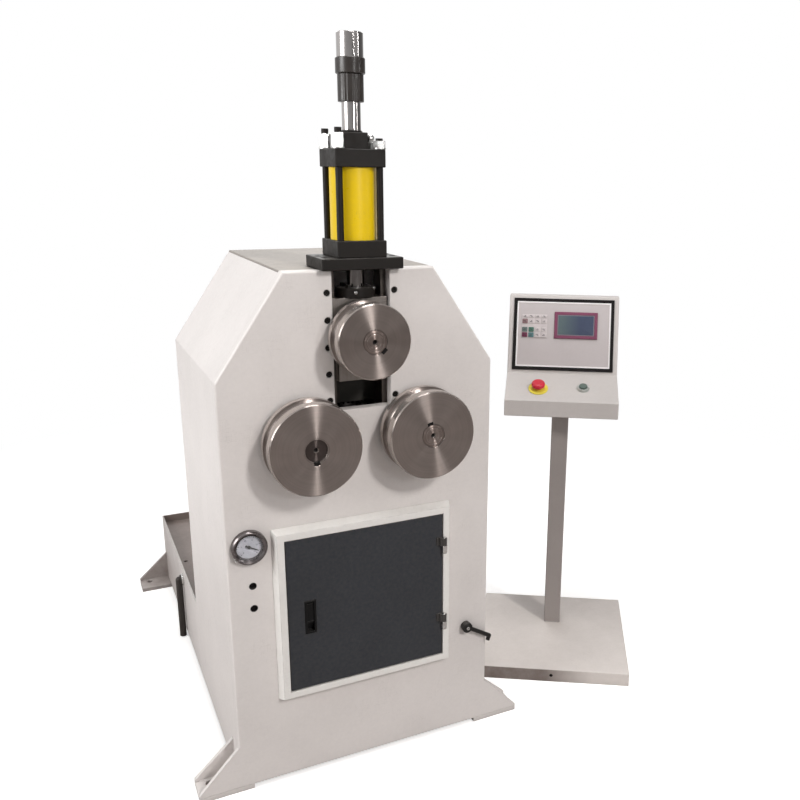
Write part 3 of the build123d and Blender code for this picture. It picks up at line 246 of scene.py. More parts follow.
class Effects:
    """The shader node groups that several finishes share."""

    def start(
        self, name: str, inputs: dict[str, Feed], outputs: dict[str, str]
    ) -> tuple[Graph, bpy.types.NodeOutputs, bpy.types.NodeInputs]:
        """Start a node group.

        Args:
            name: The group's name.
            inputs: Its inputs' names and first values.
            outputs: Its outputs' names and kinds.

        Returns:
            The group's graph, what comes into it and what goes out of it.
        """
        tree = bpy.data.node_groups.new(name, "ShaderNodeTree")
        for label, value in inputs.items():
            kind = "NodeSocketFloat" if isinstance(value, float) else "NodeSocketVector"
            tree.interface.new_socket(label, in_out="INPUT", socket_type=kind).default_value = value
        for label, kind in outputs.items():
            tree.interface.new_socket(label, in_out="OUTPUT", socket_type="NodeSocket" + kind)
        coming = tree.nodes.new("NodeGroupInput").outputs
        going = tree.nodes.new("NodeGroupOutput").inputs
        return Graph(tree), coming, going

    @cached_property
    def soft_edges(self) -> bpy.types.NodeTree:
        """Normals that round sharp edges a little, and a broken mask along those edges."""
        graph, coming, going = self.start(
            "soft edges", {"Radius": 0.002, "Breakup": 45.0}, {"Normal": "Vector", "Mask": "Float"}
        )
        rounded = graph.add("Bevel", {"Radius": coming["Radius"]}, samples=FEELERS).outputs["Normal"]
        turn = graph.span(graph.facing(rounded), low=0.985, high=0.8)
        patches = graph.noise(coming["Breakup"], detail=4.0, roughness=0.65)
        graph.feed(going["Normal"], rounded)
        graph.feed(going["Mask"], graph.times(turn, graph.span(patches, low=0.46, high=0.62)))
        return graph.tree

    @cached_property
    def mottle(self) -> bpy.types.NodeTree:
        """Broad and fine changes of tone."""
        graph, coming, going = self.start(
            "mottle", {"Scale": 5.0, "Fine Scale": 120.0}, {"Tone": "Float", "Fine": "Float"}
        )
        broad = graph.noise(coming["Scale"], detail=5.0, roughness=0.6)
        fine = graph.noise(coming["Fine Scale"], detail=3.0, roughness=0.6)
        graph.feed(going["Tone"], graph.span(broad, *NOISE_REACH))
        graph.feed(going["Fine"], graph.span(fine, *NOISE_REACH))
        return graph.tree

    @cached_property
    def settled_dust(self) -> bpy.types.NodeTree:
        """A patchy mask of dust on what faces up."""
        graph, coming, going = self.start("settled dust", {"Amount": 0.3}, {"Mask": "Float"})
        level = graph.span(graph.facing(Axis.Z.value), low=0.55, high=1.0)
        patches = graph.span(graph.noise(scale=22.0, detail=6.0, roughness=0.65), low=0.35, high=0.75)
        graph.feed(going["Mask"], graph.times(level, patches, coming["Amount"]))
        return graph.tree

    @cached_property
    def corner_grime_and_shade(self) -> bpy.types.NodeTree:
        """A broken mask in corners and gaps, from ambient occlusion: dirt and painted shade."""
        graph, coming, going = self.start("corner grime", {"Reach": 0.02, "Amount": 0.3}, {"Mask": "Float"})
        # Ambient occlusion marks shut-in places, so this mask paints their shade as well as dirt.
        open_air = graph.add("AmbientOcclusion", {"Distance": coming["Reach"]}, samples=FEELERS).outputs["AO"]
        depth = graph.span(open_air, low=0.85, high=0.25)
        patches = graph.noise(scale=30.0, detail=5.0, roughness=0.6)
        patches = graph.span(patches, low=0.2, high=0.8, start=0.35)
        graph.feed(going["Mask"], graph.times(depth, patches, coming["Amount"]))
        return graph.tree

    @cached_property
    def run_of_soil_and_shade(self) -> bpy.types.NodeTree:
        """A patchy mask of oily dirt and painted shade that grows one way, with its own share on level faces.
        """
        graph, coming, going = self.start(
            "run of soil",
            {"Direction": Axis.Y.value, "Start": -0.1, "End": 0.6, "Level": 1.0, "Amount": 0.5},
            {"Mask": "Float"},
        )
        along = graph.vector("DOT_PRODUCT", graph.place(), coming["Direction"])
        reach = graph.span(along, coming["Start"], coming["End"])
        share = graph.span(graph.facing(Axis.Z.value), low=0.3, high=0.7, start=1.0, end=coming["Level"])
        patches = graph.noise(scale=14.0, detail=6.0, roughness=0.65)
        patches = graph.span(patches, low=0.25, high=0.7, start=0.6)
        graph.feed(going["Mask"], graph.times(reach, patches, share, coming["Amount"]))
        return graph.tree

    @cached_property
    def orange_peel(self) -> bpy.types.NodeTree:
        """The small waves of sprayed paint."""
        graph, coming, going = self.start("orange peel", {"Scale": 260.0}, {"Height": "Float"})
        graph.feed(going["Height"], graph.noise(coming["Scale"], detail=1.5, roughness=0.4))
        return graph.tree

    @cached_property
    def turning_rings(self) -> bpy.types.NodeTree:
        """The rings that a lathe tool leaves about an axis."""
        graph, coming, going = self.start(
            "turning rings",
            {"Centre": (0.0, 0.0, 0.0), "Axis": Axis.Y.value, "Rings": 700.0},
            {"Height": "Float", "Tone": "Float"},
        )
        arm = graph.vector("SUBTRACT", graph.place(), coming["Centre"])
        along = graph.vector("DOT_PRODUCT", arm, coming["Axis"])
        scaled_axis = {0: coming["Axis"], "Scale": along}
        foot = graph.add("VectorMath", scaled_axis, operation="SCALE").outputs["Vector"]
        radius = graph.vector("LENGTH", graph.vector("SUBTRACT", arm, foot))
        turns = graph.times(graph.maths("ADD", radius, along), coming["Rings"])
        broad_turns = graph.times(turns, 0.12)
        rings = graph.add("TexNoise", {"W": turns, "Scale": 1.0, "Detail": 3.0}, noise_dimensions="1D")
        broad = graph.add("TexNoise", {"W": broad_turns, "Scale": 1.0}, noise_dimensions="1D")
        graph.feed(going["Height"], rings.outputs["Fac"])
        graph.feed(going["Tone"], graph.span(broad.outputs["Fac"], *NOISE_REACH))
        return graph.tree

    @cached_property
    def grinding_grain(self) -> bpy.types.NodeTree:
        """Straight grinding lines, long along the axis whose stretch is small."""
        graph, coming, going = self.start(
            "grinding grain", {"Stretch": (1.0, 1.0, 1.0)}, {"Height": "Float", "Tone": "Float"}
        )
        drawn = graph.vector("MULTIPLY", graph.place(), coming["Stretch"])
        broad_drawn = graph.vector("MULTIPLY", drawn, (0.15, 0.15, 0.15))
        broad = graph.noise(scale=1.0, detail=3.0, roughness=0.6, where=broad_drawn)
        graph.feed(going["Height"], graph.noise(scale=1.0, detail=4.0, roughness=0.6, where=drawn))
        graph.feed(going["Tone"], graph.span(broad, *NOISE_REACH))
        return graph.tree

    @cached_property
    def scuffs(self) -> bpy.types.NodeTree:
        """Thin scratches in patches."""
        graph, coming, going = self.start("scuffs", {"Scale": 60.0, "Amount": 0.4}, {"Mask": "Float"})
        marks: list[Socket] = []
        for stretch in ((1.0, 0.35, 0.06), (0.09, 1.0, 1.2)):
            drawn = graph.vector("MULTIPLY", graph.place(), stretch)
            lines = graph.noise(graph.times(coming["Scale"], 4.0), detail=3.0, where=drawn)
            off_line = graph.maths("ABSOLUTE", graph.maths("SUBTRACT", lines, 0.5))
            marks.append(graph.span(off_line, low=0.012, high=0.002))
        patches = graph.noise(graph.times(coming["Scale"], 0.25), detail=3.0)
        patches = graph.span(patches, low=0.5, high=0.7)
        marked = graph.maths("MAXIMUM", *marks)
        graph.feed(going["Mask"], graph.times(marked, patches, coming["Amount"]))
        return graph.tree

    @cached_property
    def smears(self) -> bpy.types.NodeTree:
        """Soft oily patches and fingerprints that change the gloss."""
        graph, coming, going = self.start("smears", {"Scale": 18.0}, {"Mask": "Float"})
        inputs = {"Vector": graph.place(), "Scale": coming["Scale"], "Detail": 6.0, "Distortion": 1.2}
        swirl = graph.add("TexNoise", inputs).outputs["Fac"]
        graph.feed(going["Mask"], graph.span(swirl, low=0.42, high=0.68))
        return graph.tree


class Coat(Graph):
    """The nodes of one finish's material."""

    def __init__(self, material: bpy.types.Material, effects: Effects) -> None:
        """Take the material to fill and the groups that it can use.

        Args:
            material: The material, with its first nodes.
            effects: The shared groups.
        """
        super().__init__(material.node_tree)
        self.shader = material.node_tree.nodes["Principled BSDF"].inputs
        self.effects = effects

    def use(self, group: bpy.types.NodeTree, **values: Feed) -> bpy.types.NodeOutputs:
        """Place a shared group in the material."""
        return self.add("Group", values, node_tree=group).outputs

    def fill(self, values: dict[str, Feed]) -> None:
        """Feed the shader's sockets."""
        for label, value in values.items():
            self.feed(self.shader[label], value)


@dataclass(frozen=True)
class Finish:
    """A surface's finish.

    Attributes:
        name: The finish's name.
        slot: The record's material slot that it belongs to; not used by this script.
        colour: Its main colour.
        roughness: Its mean roughness.
        edge: The radius that sharp edges look rounded by, in metres.
        shine: The level of its plain reflection, where 0.5 is usual.
        spread: How far the roughness goes from its mean, at the least and at the most.
        relief: How much of its fine texture shows.
        depth: How tall that texture is, in metres.
    """

    name: str
    slot: str
    colour: Colour
    roughness: float = 0.5
    edge: float = 0.0012
    shine: float = 0.5
    spread: Pair = (0.0, 0.1)
    relief: float = 0.0
    depth: float = 0.1 * MM

    def dress(self, coat: Coat) -> None:
        """Fill the material's nodes."""
        raise NotImplementedError

    def toned(self, coat: Coat, mask: Socket, dark: float, light: float) -> Socket:
        """Change the colour's tone over the surface."""
        return coat.mix(mask, shade(self.colour, dark), shade(self.colour, light))

    def dulled(self, coat: Coat, mask: Socket, low: float = 0.0, high: float = 1.0) -> Socket:
        """Change the roughness over the surface."""
        least, most = self.spread
        return coat.span(mask, low, high, self.roughness + least, self.roughness + most)

    def textured(self, coat: Coat, height: Socket, normal: Socket) -> Socket:
        """Tilt a normal by the finish's fine texture."""
        return coat.bump(height, self.relief, self.depth, normal)


@dataclass(frozen=True)
class SoilAndShadeRun:
    """Dirt and painted shade that grow along a direction.

    Attributes:
        direction: The way that it grows.
        start: Where it starts along that direction, in metres.
        end: Where it is full.
        amount: How much of the surface it hides there.
        level: The share of it that lies on level faces.
    """

    direction: Point
    start: float
    end: float
    amount: float
    level: float = 1.0


@dataclass(frozen=True)
class Paint(Finish):
    """Sprayed paint on steel, with dust on top, dirt and painted shade in corners and wear on edges.

    Attributes:
        under: What shows where the paint is worn off.
        wear: How much of the edges is worn.
        scuffed: The share of that wear on flat faces.
        dust: How much dust lies on what faces up.
        dust_dull: How much rougher the dust is.
        grime_and_shade: How much dirt and painted shade darken the corners.
        contrast: How far the tone changes over the surface.
        soil_and_shade: The run of darkening on it, dirt and painted shade.
    """

    spread: Pair = (-0.05, 0.07)
    relief: float = 0.12
    depth: float = 0.4 * MM
    under: Colour = tint(150, 144, 138)
    wear: float = 0.4
    scuffed: float = 0.5
    dust: float = 0.25
    dust_dull: float = 0.3
    grime_and_shade: float = 0.35
    contrast: float = 0.04
    soil_and_shade: SoilAndShadeRun | None = None

    def dress(self, coat: Coat) -> None:
        """Fill the material's nodes.

        Args:
            coat: The material's nodes.
        """
        effects = coat.effects
        edges = coat.use(effects.soft_edges, Radius=self.edge)
        tone = coat.use(effects.mottle)
        dust = coat.use(effects.settled_dust, Amount=self.dust)
        grime_and_shade = coat.use(effects.corner_grime_and_shade, Amount=self.grime_and_shade)
        scuffs = coat.use(effects.scuffs, Amount=self.wear * self.scuffed)
        peel = coat.use(effects.orange_peel)
        colour = self.toned(coat, tone["Tone"], 1 - self.contrast, 1 + self.contrast)
        colour = coat.mix(coat.times(tone["Fine"], self.contrast), colour, SOIL_AND_SHADE)
        # A run darkens the paint towards one side; on the slab it paints the cabinet's shadow.
        if run := self.soil_and_shade:
            soil_and_shade = coat.use(
                effects.run_of_soil_and_shade, Direction=run.direction, Start=run.start, End=run.end,
                Level=run.level, Amount=run.amount)
            colour = coat.mix(soil_and_shade["Mask"], colour, OIL_SOIL_AND_SHADE)
        colour = coat.layered(
            colour,
            # Paints shade and dirt into corners.
            (grime_and_shade["Mask"], SOIL_AND_SHADE),
            (scuffs["Mask"], self.under),
            (coat.times(edges["Mask"], self.wear), self.under),
            (dust["Mask"], DUST),
        )
        gloss = self.dulled(coat, tone["Fine"])
        coat.fill({
            "Base Color": colour,
            "Roughness": coat.maths("ADD", gloss, coat.times(dust["Mask"], self.dust_dull)),
            "Normal": self.textured(coat, peel["Height"], edges["Normal"]),
        })


@dataclass(frozen=True)
class TurnedSteel(Finish):
    """Bare steel with the rings of a lathe.

    Attributes:
        centre: A point on the lathe's axis.
        axis: The direction of that axis.
        rings: How many rings there are to a metre.
        streak: How far the gloss is drawn out across the rings.
        streak_turn: How far that streak is turned from the rings, in whole turns.
        stain: How strong the oily stains are.
        stain_dull: How much rougher the stains are.
        grime_and_shade: How much dirt and painted shade darken the corners.
        rim: The colour of its polished rim.
        rim_polish: How much smoother the rim is.
        metallic: How much the surface is bare metal.
    """

    spread: Pair = (-0.006, 0.006)
    relief: float = 1.0
    depth: float = 0.001 * MM
    centre: Point = (0.0, 0.0, 0.0)
    axis: Axis = Axis.Y
    rings: float = 1500.0
    streak: float = 1.0
    streak_turn: float = 0.25
    stain: float = 0.2
    stain_dull: float = 0.02
    grime_and_shade: float = 0.5
    rim: Colour = tint(190, 180, 174)
    rim_polish: float = 0.18
    metallic: float = 0.7

    def dress(self, coat: Coat) -> None:
        """Fill the material's nodes.

        Args:
            coat: The material's nodes.
        """
        effects = coat.effects
        edges = coat.use(effects.soft_edges, Radius=self.edge)
        rings = coat.use(effects.turning_rings, Centre=self.centre, Axis=self.axis.value, Rings=self.rings)
        smears = coat.use(effects.smears)
        grime_and_shade = coat.use(effects.corner_grime_and_shade, Amount=self.grime_and_shade)
        side = coat.span(coat.maths("ABSOLUTE", coat.facing(self.axis.value)), low=0.9, high=0.6)
        colour = coat.layered(
            self.toned(coat, rings["Tone"], dark=0.95, light=1.05),
            (side, self.rim),
            (coat.times(smears["Mask"], self.stain), shade(self.colour, factor=0.7)),
            # Paints shade and dirt into the grooves and corners.
            (grime_and_shade["Mask"], shade(self.colour, factor=0.25)),
        )
        gloss = coat.maths("SUBTRACT", self.dulled(coat, rings["Tone"]), coat.times(side, self.rim_polish))
        tangent = coat.add("Tangent", direction_type="RADIAL", axis=self.axis.name)
        coat.fill({
            "Base Color": colour,
            "Metallic": self.metallic,
            "Roughness": coat.maths("ADD", gloss, coat.times(smears["Mask"], self.stain_dull)),
            "Normal": self.textured(coat, rings["Height"], edges["Normal"]),
            "Anisotropic": self.streak,
            "Anisotropic Rotation": self.streak_turn,
            "Tangent": tangent.outputs["Tangent"],
        })


@dataclass(frozen=True)
class GroundSteel(Finish):
    """Bare steel with straight grinding lines.

    Attributes:
        stretch: How many lines there are to a metre along X, Y and Z.
        stain: How strong the oily stains are.
        stain_dull: How much rougher the stains are.
        grime_and_shade: How much dirt and painted shade darken the corners.
        wear: How much of the edges is rubbed bright.
        metallic: How much the surface is bare metal.
    """

    spread: Pair = (-0.08, 0.08)
    relief: float = 0.3
    depth: float = 0.05 * MM
    stretch: Point = (900.0, 900.0, 20.0)
    stain: float = 0.4
    stain_dull: float = 0.1
    grime_and_shade: float = 0.5
    wear: float = 0.6
    metallic: float = 1.0

    def dress(self, coat: Coat) -> None:
        """Fill the material's nodes.

        Args:
            coat: The material's nodes.
        """
        effects = coat.effects
        edges = coat.use(effects.soft_edges, Radius=self.edge)
        grain = coat.use(effects.grinding_grain, Stretch=self.stretch)
        smears = coat.use(effects.smears, Scale=26.0)
        grime_and_shade = coat.use(effects.corner_grime_and_shade, Amount=self.grime_and_shade)
        colour = coat.layered(
            self.toned(coat, grain["Tone"], dark=0.86, light=1.1),
            (coat.times(smears["Mask"], self.stain), shade(self.colour, factor=0.55)),
            # Paints shade and dirt into corners.
            (grime_and_shade["Mask"], shade(self.colour, factor=0.3)),
            (coat.times(edges["Mask"], self.wear), shade(self.colour, factor=1.5)),
        )
        gloss = self.dulled(coat, grain["Height"], *NOISE_REACH)
        coat.fill({
            "Base Color": colour,
            "Metallic": self.metallic,
            "Roughness": coat.maths("ADD", gloss, coat.times(smears["Mask"], self.stain_dull)),
            "Normal": self.textured(coat, grain["Height"], edges["Normal"]),
        })


@dataclass(frozen=True)
class Plating(Finish):
    """Chrome, zinc or bright steel with smears and fine scratches.

    Attributes:
        stain: How strong the smears are.
        scratch: How much of the surface is scratched.
        scratch_dull: How much rougher the scratches are.
        grime_and_shade: How much dirt and painted shade darken the corners.
    """

    spread: Pair = (0.0, 0.08)
    stain: float = 0.3
    scratch: float = 0.3
    scratch_dull: float = 0.25
    grime_and_shade: float = 0.5

    def dress(self, coat: Coat) -> None:
        """Fill the material's nodes.

        Args:
            coat: The material's nodes.
        """
        effects = coat.effects
        edges = coat.use(effects.soft_edges, Radius=self.edge)
        smears = coat.use(effects.smears, Scale=40.0)
        scuffs = coat.use(effects.scuffs, Scale=120.0, Amount=self.scratch)
        grime_and_shade = coat.use(effects.corner_grime_and_shade, Reach=8.0 * MM, Amount=self.grime_and_shade)
        colour = coat.layered(
            self.colour,
            (coat.times(smears["Mask"], self.stain), shade(self.colour, factor=0.8)),
            # Paints shade and dirt into corners.
            (grime_and_shade["Mask"], shade(self.colour, factor=0.3)),
        )
        gloss = self.dulled(coat, smears["Mask"])
        coat.fill({
            "Base Color": colour,
            "Metallic": 1.0,
            "Roughness": coat.maths("ADD", gloss, coat.times(scuffs["Mask"], self.scratch_dull)),
            "Normal": edges["Normal"],
        })


@dataclass(frozen=True)
class Skin(Finish):
    """A plain skin with a fine texture, smears and dust, and edges that can be rubbed bright.

    Attributes:
        tones: The darkest and lightest tone, as shares of the colour's light.
        blots: How many changes of tone there are to a metre.
        smears: How many smears there are to a metre.
        grain: How many grains there are to a metre.
        rub: How much of the edges is rubbed bright.
        dust: How much dust lies on what faces up.
    """

    tones: Pair = (0.93, 1.06)
    blots: float = 40.0
    smears: float = 50.0
    grain: float = 900.0
    rub: float = 0.0
    dust: float = 0.15

    def dress(self, coat: Coat) -> None:
        """Fill the material's nodes.

        Args:
            coat: The material's nodes.
        """
        effects = coat.effects
        edges = coat.use(effects.soft_edges, Radius=self.edge)
        tone = coat.use(effects.mottle, Scale=self.blots)
        smears = coat.use(effects.smears, Scale=self.smears)
        dust = coat.use(effects.settled_dust, Amount=self.dust)
        skin = coat.use(effects.orange_peel, Scale=self.grain)
        colour = self.toned(coat, tone["Tone"], *self.tones)
        if self.rub:
            colour = coat.mix(coat.times(edges["Mask"], self.rub), colour, RUBBED_STEEL)
        coat.fill({
            "Base Color": coat.mix(dust["Mask"], colour, DUST),
            "Roughness": self.dulled(coat, smears["Mask"]),
            "Normal": self.textured(coat, skin["Height"], edges["Normal"]),
        })


@dataclass(frozen=True)
class Blackened(Skin):
    """Steel blackened in an oil bath, rubbed bright on its edges."""

    spread: Pair = (-0.06, 0.1)
    relief: float = 0.15
    depth: float = 0.1 * MM
    tones: Pair = (0.8, 1.25)
    blots: float = 16.0
    smears: float = 24.0
    grain: float = 700.0
    rub: float = 0.5
    dust: float = 0.18


@dataclass(frozen=True)
class Moulding(Skin):
    """Moulded plastic or rubber."""

    spread: Pair = (-0.05, 0.08)
    relief: float = 0.2
    depth: float = 0.08 * MM


@dataclass(frozen=True)
class Glass(Finish):
    """Clear glass with faint smears.

    Attributes:
        bend: How strongly it bends light.
    """

    spread: Pair = (0.0, 0.04)
    bend: float = 1.45

    def dress(self, coat: Coat) -> None:
        """Fill the material's nodes.

        Args:
            coat: The material's nodes.
        """
        smears = coat.use(coat.effects.smears, Scale=60.0)
        coat.fill({
            "Base Color": self.colour,
            "Transmission Weight": 1.0,
            "IOR": self.bend,
            "Roughness": self.dulled(coat, smears["Mask"]),
        })


@dataclass(frozen=True)
class Display(Finish):
    """A dark display that is faintly lit, greener at one end.

    Attributes:
        far: The colour at the other end.
        left: A point where the first colour is full.
        right: A point past the place where the other colour is full.
        stain: How strong the smears are.
        glow: How much light it gives.
    """

    spread: Pair = (0.0, 0.12)
    far: Colour = tint(62, 70, 90)
    left: Point = (0.0, 0.0, 0.0)
    right: Point = (1.0, 0.0, 0.0)
    stain: float = 0.2
    glow: float = 0.12

    def dress(self, coat: Coat) -> None:
        """Fill the material's nodes.

        Args:
            coat: The material's nodes.
        """
        run = Vector(self.right) - Vector(self.left)
        arm = coat.vector("SUBTRACT", coat.place(), self.left)
        along = coat.vector("DOT_PRODUCT", arm, tuple(run / run.length_squared))
        smears = coat.use(coat.effects.smears, Scale=45.0)
        colour = coat.layered(
            self.colour,
            (coat.span(along, low=0.1, high=0.6), self.far),
            (coat.times(smears["Mask"], self.stain), shade(self.far, factor=1.3)),
        )
        coat.fill({
            "Base Color": colour,
            "Roughness": self.dulled(coat, smears["Mask"]),
            "Emission Color": colour,
            "Emission Strength": self.glow,
        })


def from_axes(at: Vector, across: Vector, out: Vector) -> Matrix:
    """Give a place with its own axes."""
    turn = Matrix((across.normalized(), out.cross(across).normalized(), out.normalized())).transposed()
    return Matrix.Translation(at) @ turn.to_4x4()


def on_front(at: Vector) -> Matrix:
    """Give a place that faces the front, with its X axis to the right."""
    return from_axes(at, TO_RIGHT, TO_FRONT)


def spoke(angle: float) -> Vector:
    """Give the direction at an angle in degrees from the right, seen from the front."""
    turn = math.radians(angle)
    return Vector((math.cos(turn), 0.0, math.sin(turn)))


def middle(node: str) -> Vector:
    """Give the middle of a CAD node's box."""
    low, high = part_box(node)
    return (low + high) / 2


@dataclass(frozen=True)
class FlatFace:
    """A flat face of a CAD node, seen from outside.

    Attributes:
        centre: The middle of the face.
        across: The level direction to the viewer's right.
        out: The direction out of the face.
        width: Its size across.
        tall: Its size along its slope.
        least_facing: How far a side has to look the asked way, as a cosine.
        same_level: How far points of one face can be from its level.
    """

    centre: Vector
    across: Vector
    out: Vector
    width: float
    tall: float
    least_facing: ClassVar[float] = 0.3
    same_level: ClassVar[float] = 0.1 * MM

    @classmethod
    def of(cls, node: str, towards: Vector) -> "FlatFace":
        """Find the outermost face of the node's largest flat side that looks one way.

        Args:
            node: The CAD node's name.
            towards: The way that the side looks, roughly.

        Returns:
            The face.
        """
        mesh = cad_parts[node].data
        sides: dict[tuple[float, ...], Vector] = {}
        for polygon in mesh.polygons:
            if polygon.normal.dot(towards) > cls.least_facing:
                key = tuple(round(part, 2) for part in polygon.normal)
                sides[key] = sides.get(key, Vector()) + polygon.normal * polygon.area
        out = max(sides.values(), key=lambda side: side.length).normalized()
        across = UP.cross(out).normalized()
        up = out.cross(across)
        level = max(vertex.co.dot(out) for vertex in mesh.vertices)
        rim = [vertex.co for vertex in mesh.vertices if vertex.co.dot(out) > level - cls.same_level]
        places = [point.dot(across) for point in rim]
        heights = [point.dot(up) for point in rim]
        centre = (across * (max(places) + min(places)) + up * (max(heights) + min(heights))) / 2 + out * level
        return cls(centre, across, out, max(places) - min(places), max(heights) - min(heights))

    def at(self, x: float, y: float, lift: float = 0.0) -> Matrix:
        """Give a place on the face."""
        up = self.out.cross(self.across)
        return from_axes(self.centre + self.across * x + up * y + self.out * lift, self.across, self.out)


def circle(diameter: float, steps: int = 24) -> list[Pair]:
    """Give a circle's outline."""
    turns = [math.tau * step / steps for step in range(steps)]
    return [(diameter / 2 * math.cos(turn), diameter / 2 * math.sin(turn)) for turn in turns]


def rounded_oblong(size: Pair, corner: float, steps: int) -> list[Pair]:
    """Give an oblong's outline with round corners.

    Args:
        size: Its width and height.
        corner: Its corners' radius.
        steps: How many points each corner has.

    Returns:
        The points.
    """
    width, tall = size
    points = []
    for quarter, (side, end) in enumerate(((1, 1), (-1, 1), (-1, -1), (1, -1))):
        x, y = side * (width / 2 - corner), end * (tall / 2 - corner)
        for step in range(steps):
            turn = math.pi / 2 * (quarter + step / (steps - 1))
            points.append((x + corner * math.cos(turn), y + corner * math.sin(turn)))
    return points


def scaled(profile: Outline, radius: float = MM, tall: float = MM) -> list[Pair]:
    """Size a profile that is in millimetres, or in shares of a radius and a height."""
    return [(share * radius, level * tall) for share, level in profile]


def bridge(solid: Solid, low: Sequence[bmesh.types.BMVert], high: Sequence[bmesh.types.BMVert]) -> None:
    """Join two closed rows of corners by faces.

    Args:
        solid: The mesh that has the corners.
        low: The first row.
        high: The second row, with as many corners.
    """
    for step in range(len(low)):
        after = (step + 1) % len(low)
        corners = dict.fromkeys((low[step], low[after], high[after], high[step]))
        solid.faces.new(list(corners))


def raised(outline: Outline, thick: float, place: Matrix, ease: float = 0.0) -> Solid:
    """Raise a flat outline into a plate.

    Args:
        outline: The outline in the place's X and Y.
        thick: The plate's thickness along the place's Z.
        place: Where it lies.
        ease: How far its upper edge is rounded.

    Returns:
        The plate.
    """
    solid = bmesh.new()
    floor = [solid.verts.new((x, y, 0.0)) for x, y in outline]
    roof = [solid.verts.new((x, y, thick)) for x, y in outline]
    solid.faces.new(list(reversed(floor)))
    top = solid.faces.new(roof)
    bridge(solid, floor, roof)
    if ease:
        rim = list(top.edges)
        bmesh.ops.bevel(
            solid, geom=rim, offset=ease, segments=3, profile=0.5, affect="EDGES", clamp_overlap=True)
    solid.transform(place)
    return solid


@dataclass(frozen=True)
class Plate:
    """An oblong plate with round corners.

    Attributes:
        width: Its width.
        tall: Its height.
        thick: Its thickness.
        corner: Its corners' radius.
        ease: How far its upper edge is rounded.
        steps: How many points each corner has.
    """

    width: float
    tall: float
    thick: float
    corner: float
    ease: float = 0.0
    steps: int = 5

    def at(self, place: Matrix) -> Solid:
        """Make the plate with its back's middle at a place and its face along the place's Z axis."""
        outline = rounded_oblong((self.width, self.tall), self.corner, self.steps)
        return raised(outline, self.thick, place, self.ease)


def lathed(profile: Outline, place: Matrix, steps: int = 48, closed: bool = False) -> Solid:
    """Turn an outline about the place's Z axis.

    Args:
        profile: Radius and height of each point.
        place: Where the axis lies.
        steps: How many steps a turn has.
        closed: Whether the last point joins the first one.

    Returns:
        The turned piece.
    """
    solid = bmesh.new()
    rows = []
    for radius, height in profile:
        if radius == 0.0:
            rows.append([solid.verts.new((0.0, 0.0, height))] * steps)
        else:
            rows.append([solid.verts.new((x, y, height)) for x, y in circle(2 * radius, steps)])
    followers = rows[1:] + rows[:1] if closed else rows[1:]
    for low, high in zip(rows, followers):
        bridge(solid, low, high)
    bmesh.ops.recalc_face_normals(solid, faces=solid.faces)
    solid.transform(place)
    return solid


def swept(path: Sequence[Vector], radius: float, sides: int = 10, ripple: float = 0.0) -> Solid:
    """Sweep a round section along a path.

    Args:
        path: The path's points.
        radius: The section's radius.
        sides: How many sides the section has.
        ripple: How much thinner the section is at every second point.

    Returns:
        The bar, with closed ends.
    """
    solid = bmesh.new()
    runs = [after - before for before, after in zip(path, path[1:])]
    ways = [run.normalized() for run in runs]
    across = runs[0].orthogonal().normalized()
    rows = []
    for place, point in enumerate(path):
        way = (ways[max(place - 1, 0)] + ways[min(place, len(ways) - 1)]).normalized()
        across = (across - way * across.dot(way)).normalized()
        beside = way.cross(across)
        ring = circle(2 * radius * (1 - ripple * (place % 2)), sides)
        rows.append([solid.verts.new(point + across * x + beside * y) for x, y in ring])
    for low, high in zip(rows, rows[1:]):
        bridge(solid, low, high)
    solid.faces.new(list(reversed(rows[0])))
    solid.faces.new(rows[-1])
    return solid


def weld_bead(start: Vector, end: Vector, radius: float = 2.4 * MM, pitch: float = 3.0 * MM) -> Solid:
    """Lay a rippled weld bead along a straight seam.

    Args:
        start: Where the seam starts.
        end: Where it ends.
        radius: The bead's radius.
        pitch: The length of a ripple.

    Returns:
        The bead.
    """
    steps = 2 * max(2, round((end - start).length / pitch))
    path = [start.lerp(end, step / steps) for step in range(steps + 1)]
    return swept(path, radius, sides=8, ripple=0.2)


# A domed screw head with a round socket, in shares of its radius and height.
SCREW_PROFILE = ((1.0, 0.0), (1.0, 0.55), (0.85, 0.9), (0.45, 1.0), (0.45, 0.4), (0.0, 0.4))


def screw_head(place: Matrix, diameter: float, tall: float) -> Solid:
    """Make a domed screw head with a round socket."""
    return lathed(scaled(SCREW_PROFILE, diameter / 2, tall), place, steps=24)


def corner_screws(plate: Plate, place: Matrix, inset: float, head: Pair) -> Solid:
    """Put a screw in each corner of a plate.

    Args:
        plate: The plate.
        place: The middle of its back.
        inset: How far the screws are from its sides.
        head: The diameter and height of their heads.

    Returns:
        The four heads.
    """
    x, y = plate.width / 2 - inset, plate.tall / 2 - inset
    spots = [(side * x, end * y, plate.thick) for side in (-1, 1) for end in (-1, 1)]
    return gathered(screw_head(place @ Matrix.Translation(spot), *head) for spot in spots)


def lettering(words: str, size: float, thick: float, place: Matrix) -> Solid:
    """Make flat figures.

    Args:
        words: The figures.
        size: Their height.
        thick: Their thickness.
        place: Where their middle lies.

    Returns:
        The figures' mesh.
    """
    curve = bpy.data.curves.new(words, "FONT")
    curve.body, curve.size = words, size
    curve.align_x, curve.align_y = "CENTER", "CENTER"
    curve.extrude = thick / 2
    holder = bpy.data.objects.new(words, curve)
    mesh = bpy.data.meshes.new_from_object(holder)
    solid = bmesh.new()
    solid.from_mesh(mesh)
    solid.transform(place)
    bpy.data.objects.remove(holder)
    bpy.data.curves.remove(curve)
    bpy.data.meshes.remove(mesh)
    return solid


def gathered(solids: Iterable[Solid]) -> Solid:
    """Put several solids in one mesh.

    Args:
        solids: The solids, which are used up.

    Returns:
        The one mesh.
    """
    whole = bmesh.new()
    for solid in solids:
        mesh = bpy.data.meshes.new("gathered")
        solid.to_mesh(mesh)
        solid.free()
        whole.from_mesh(mesh)
        bpy.data.meshes.remove(mesh)
    return whole


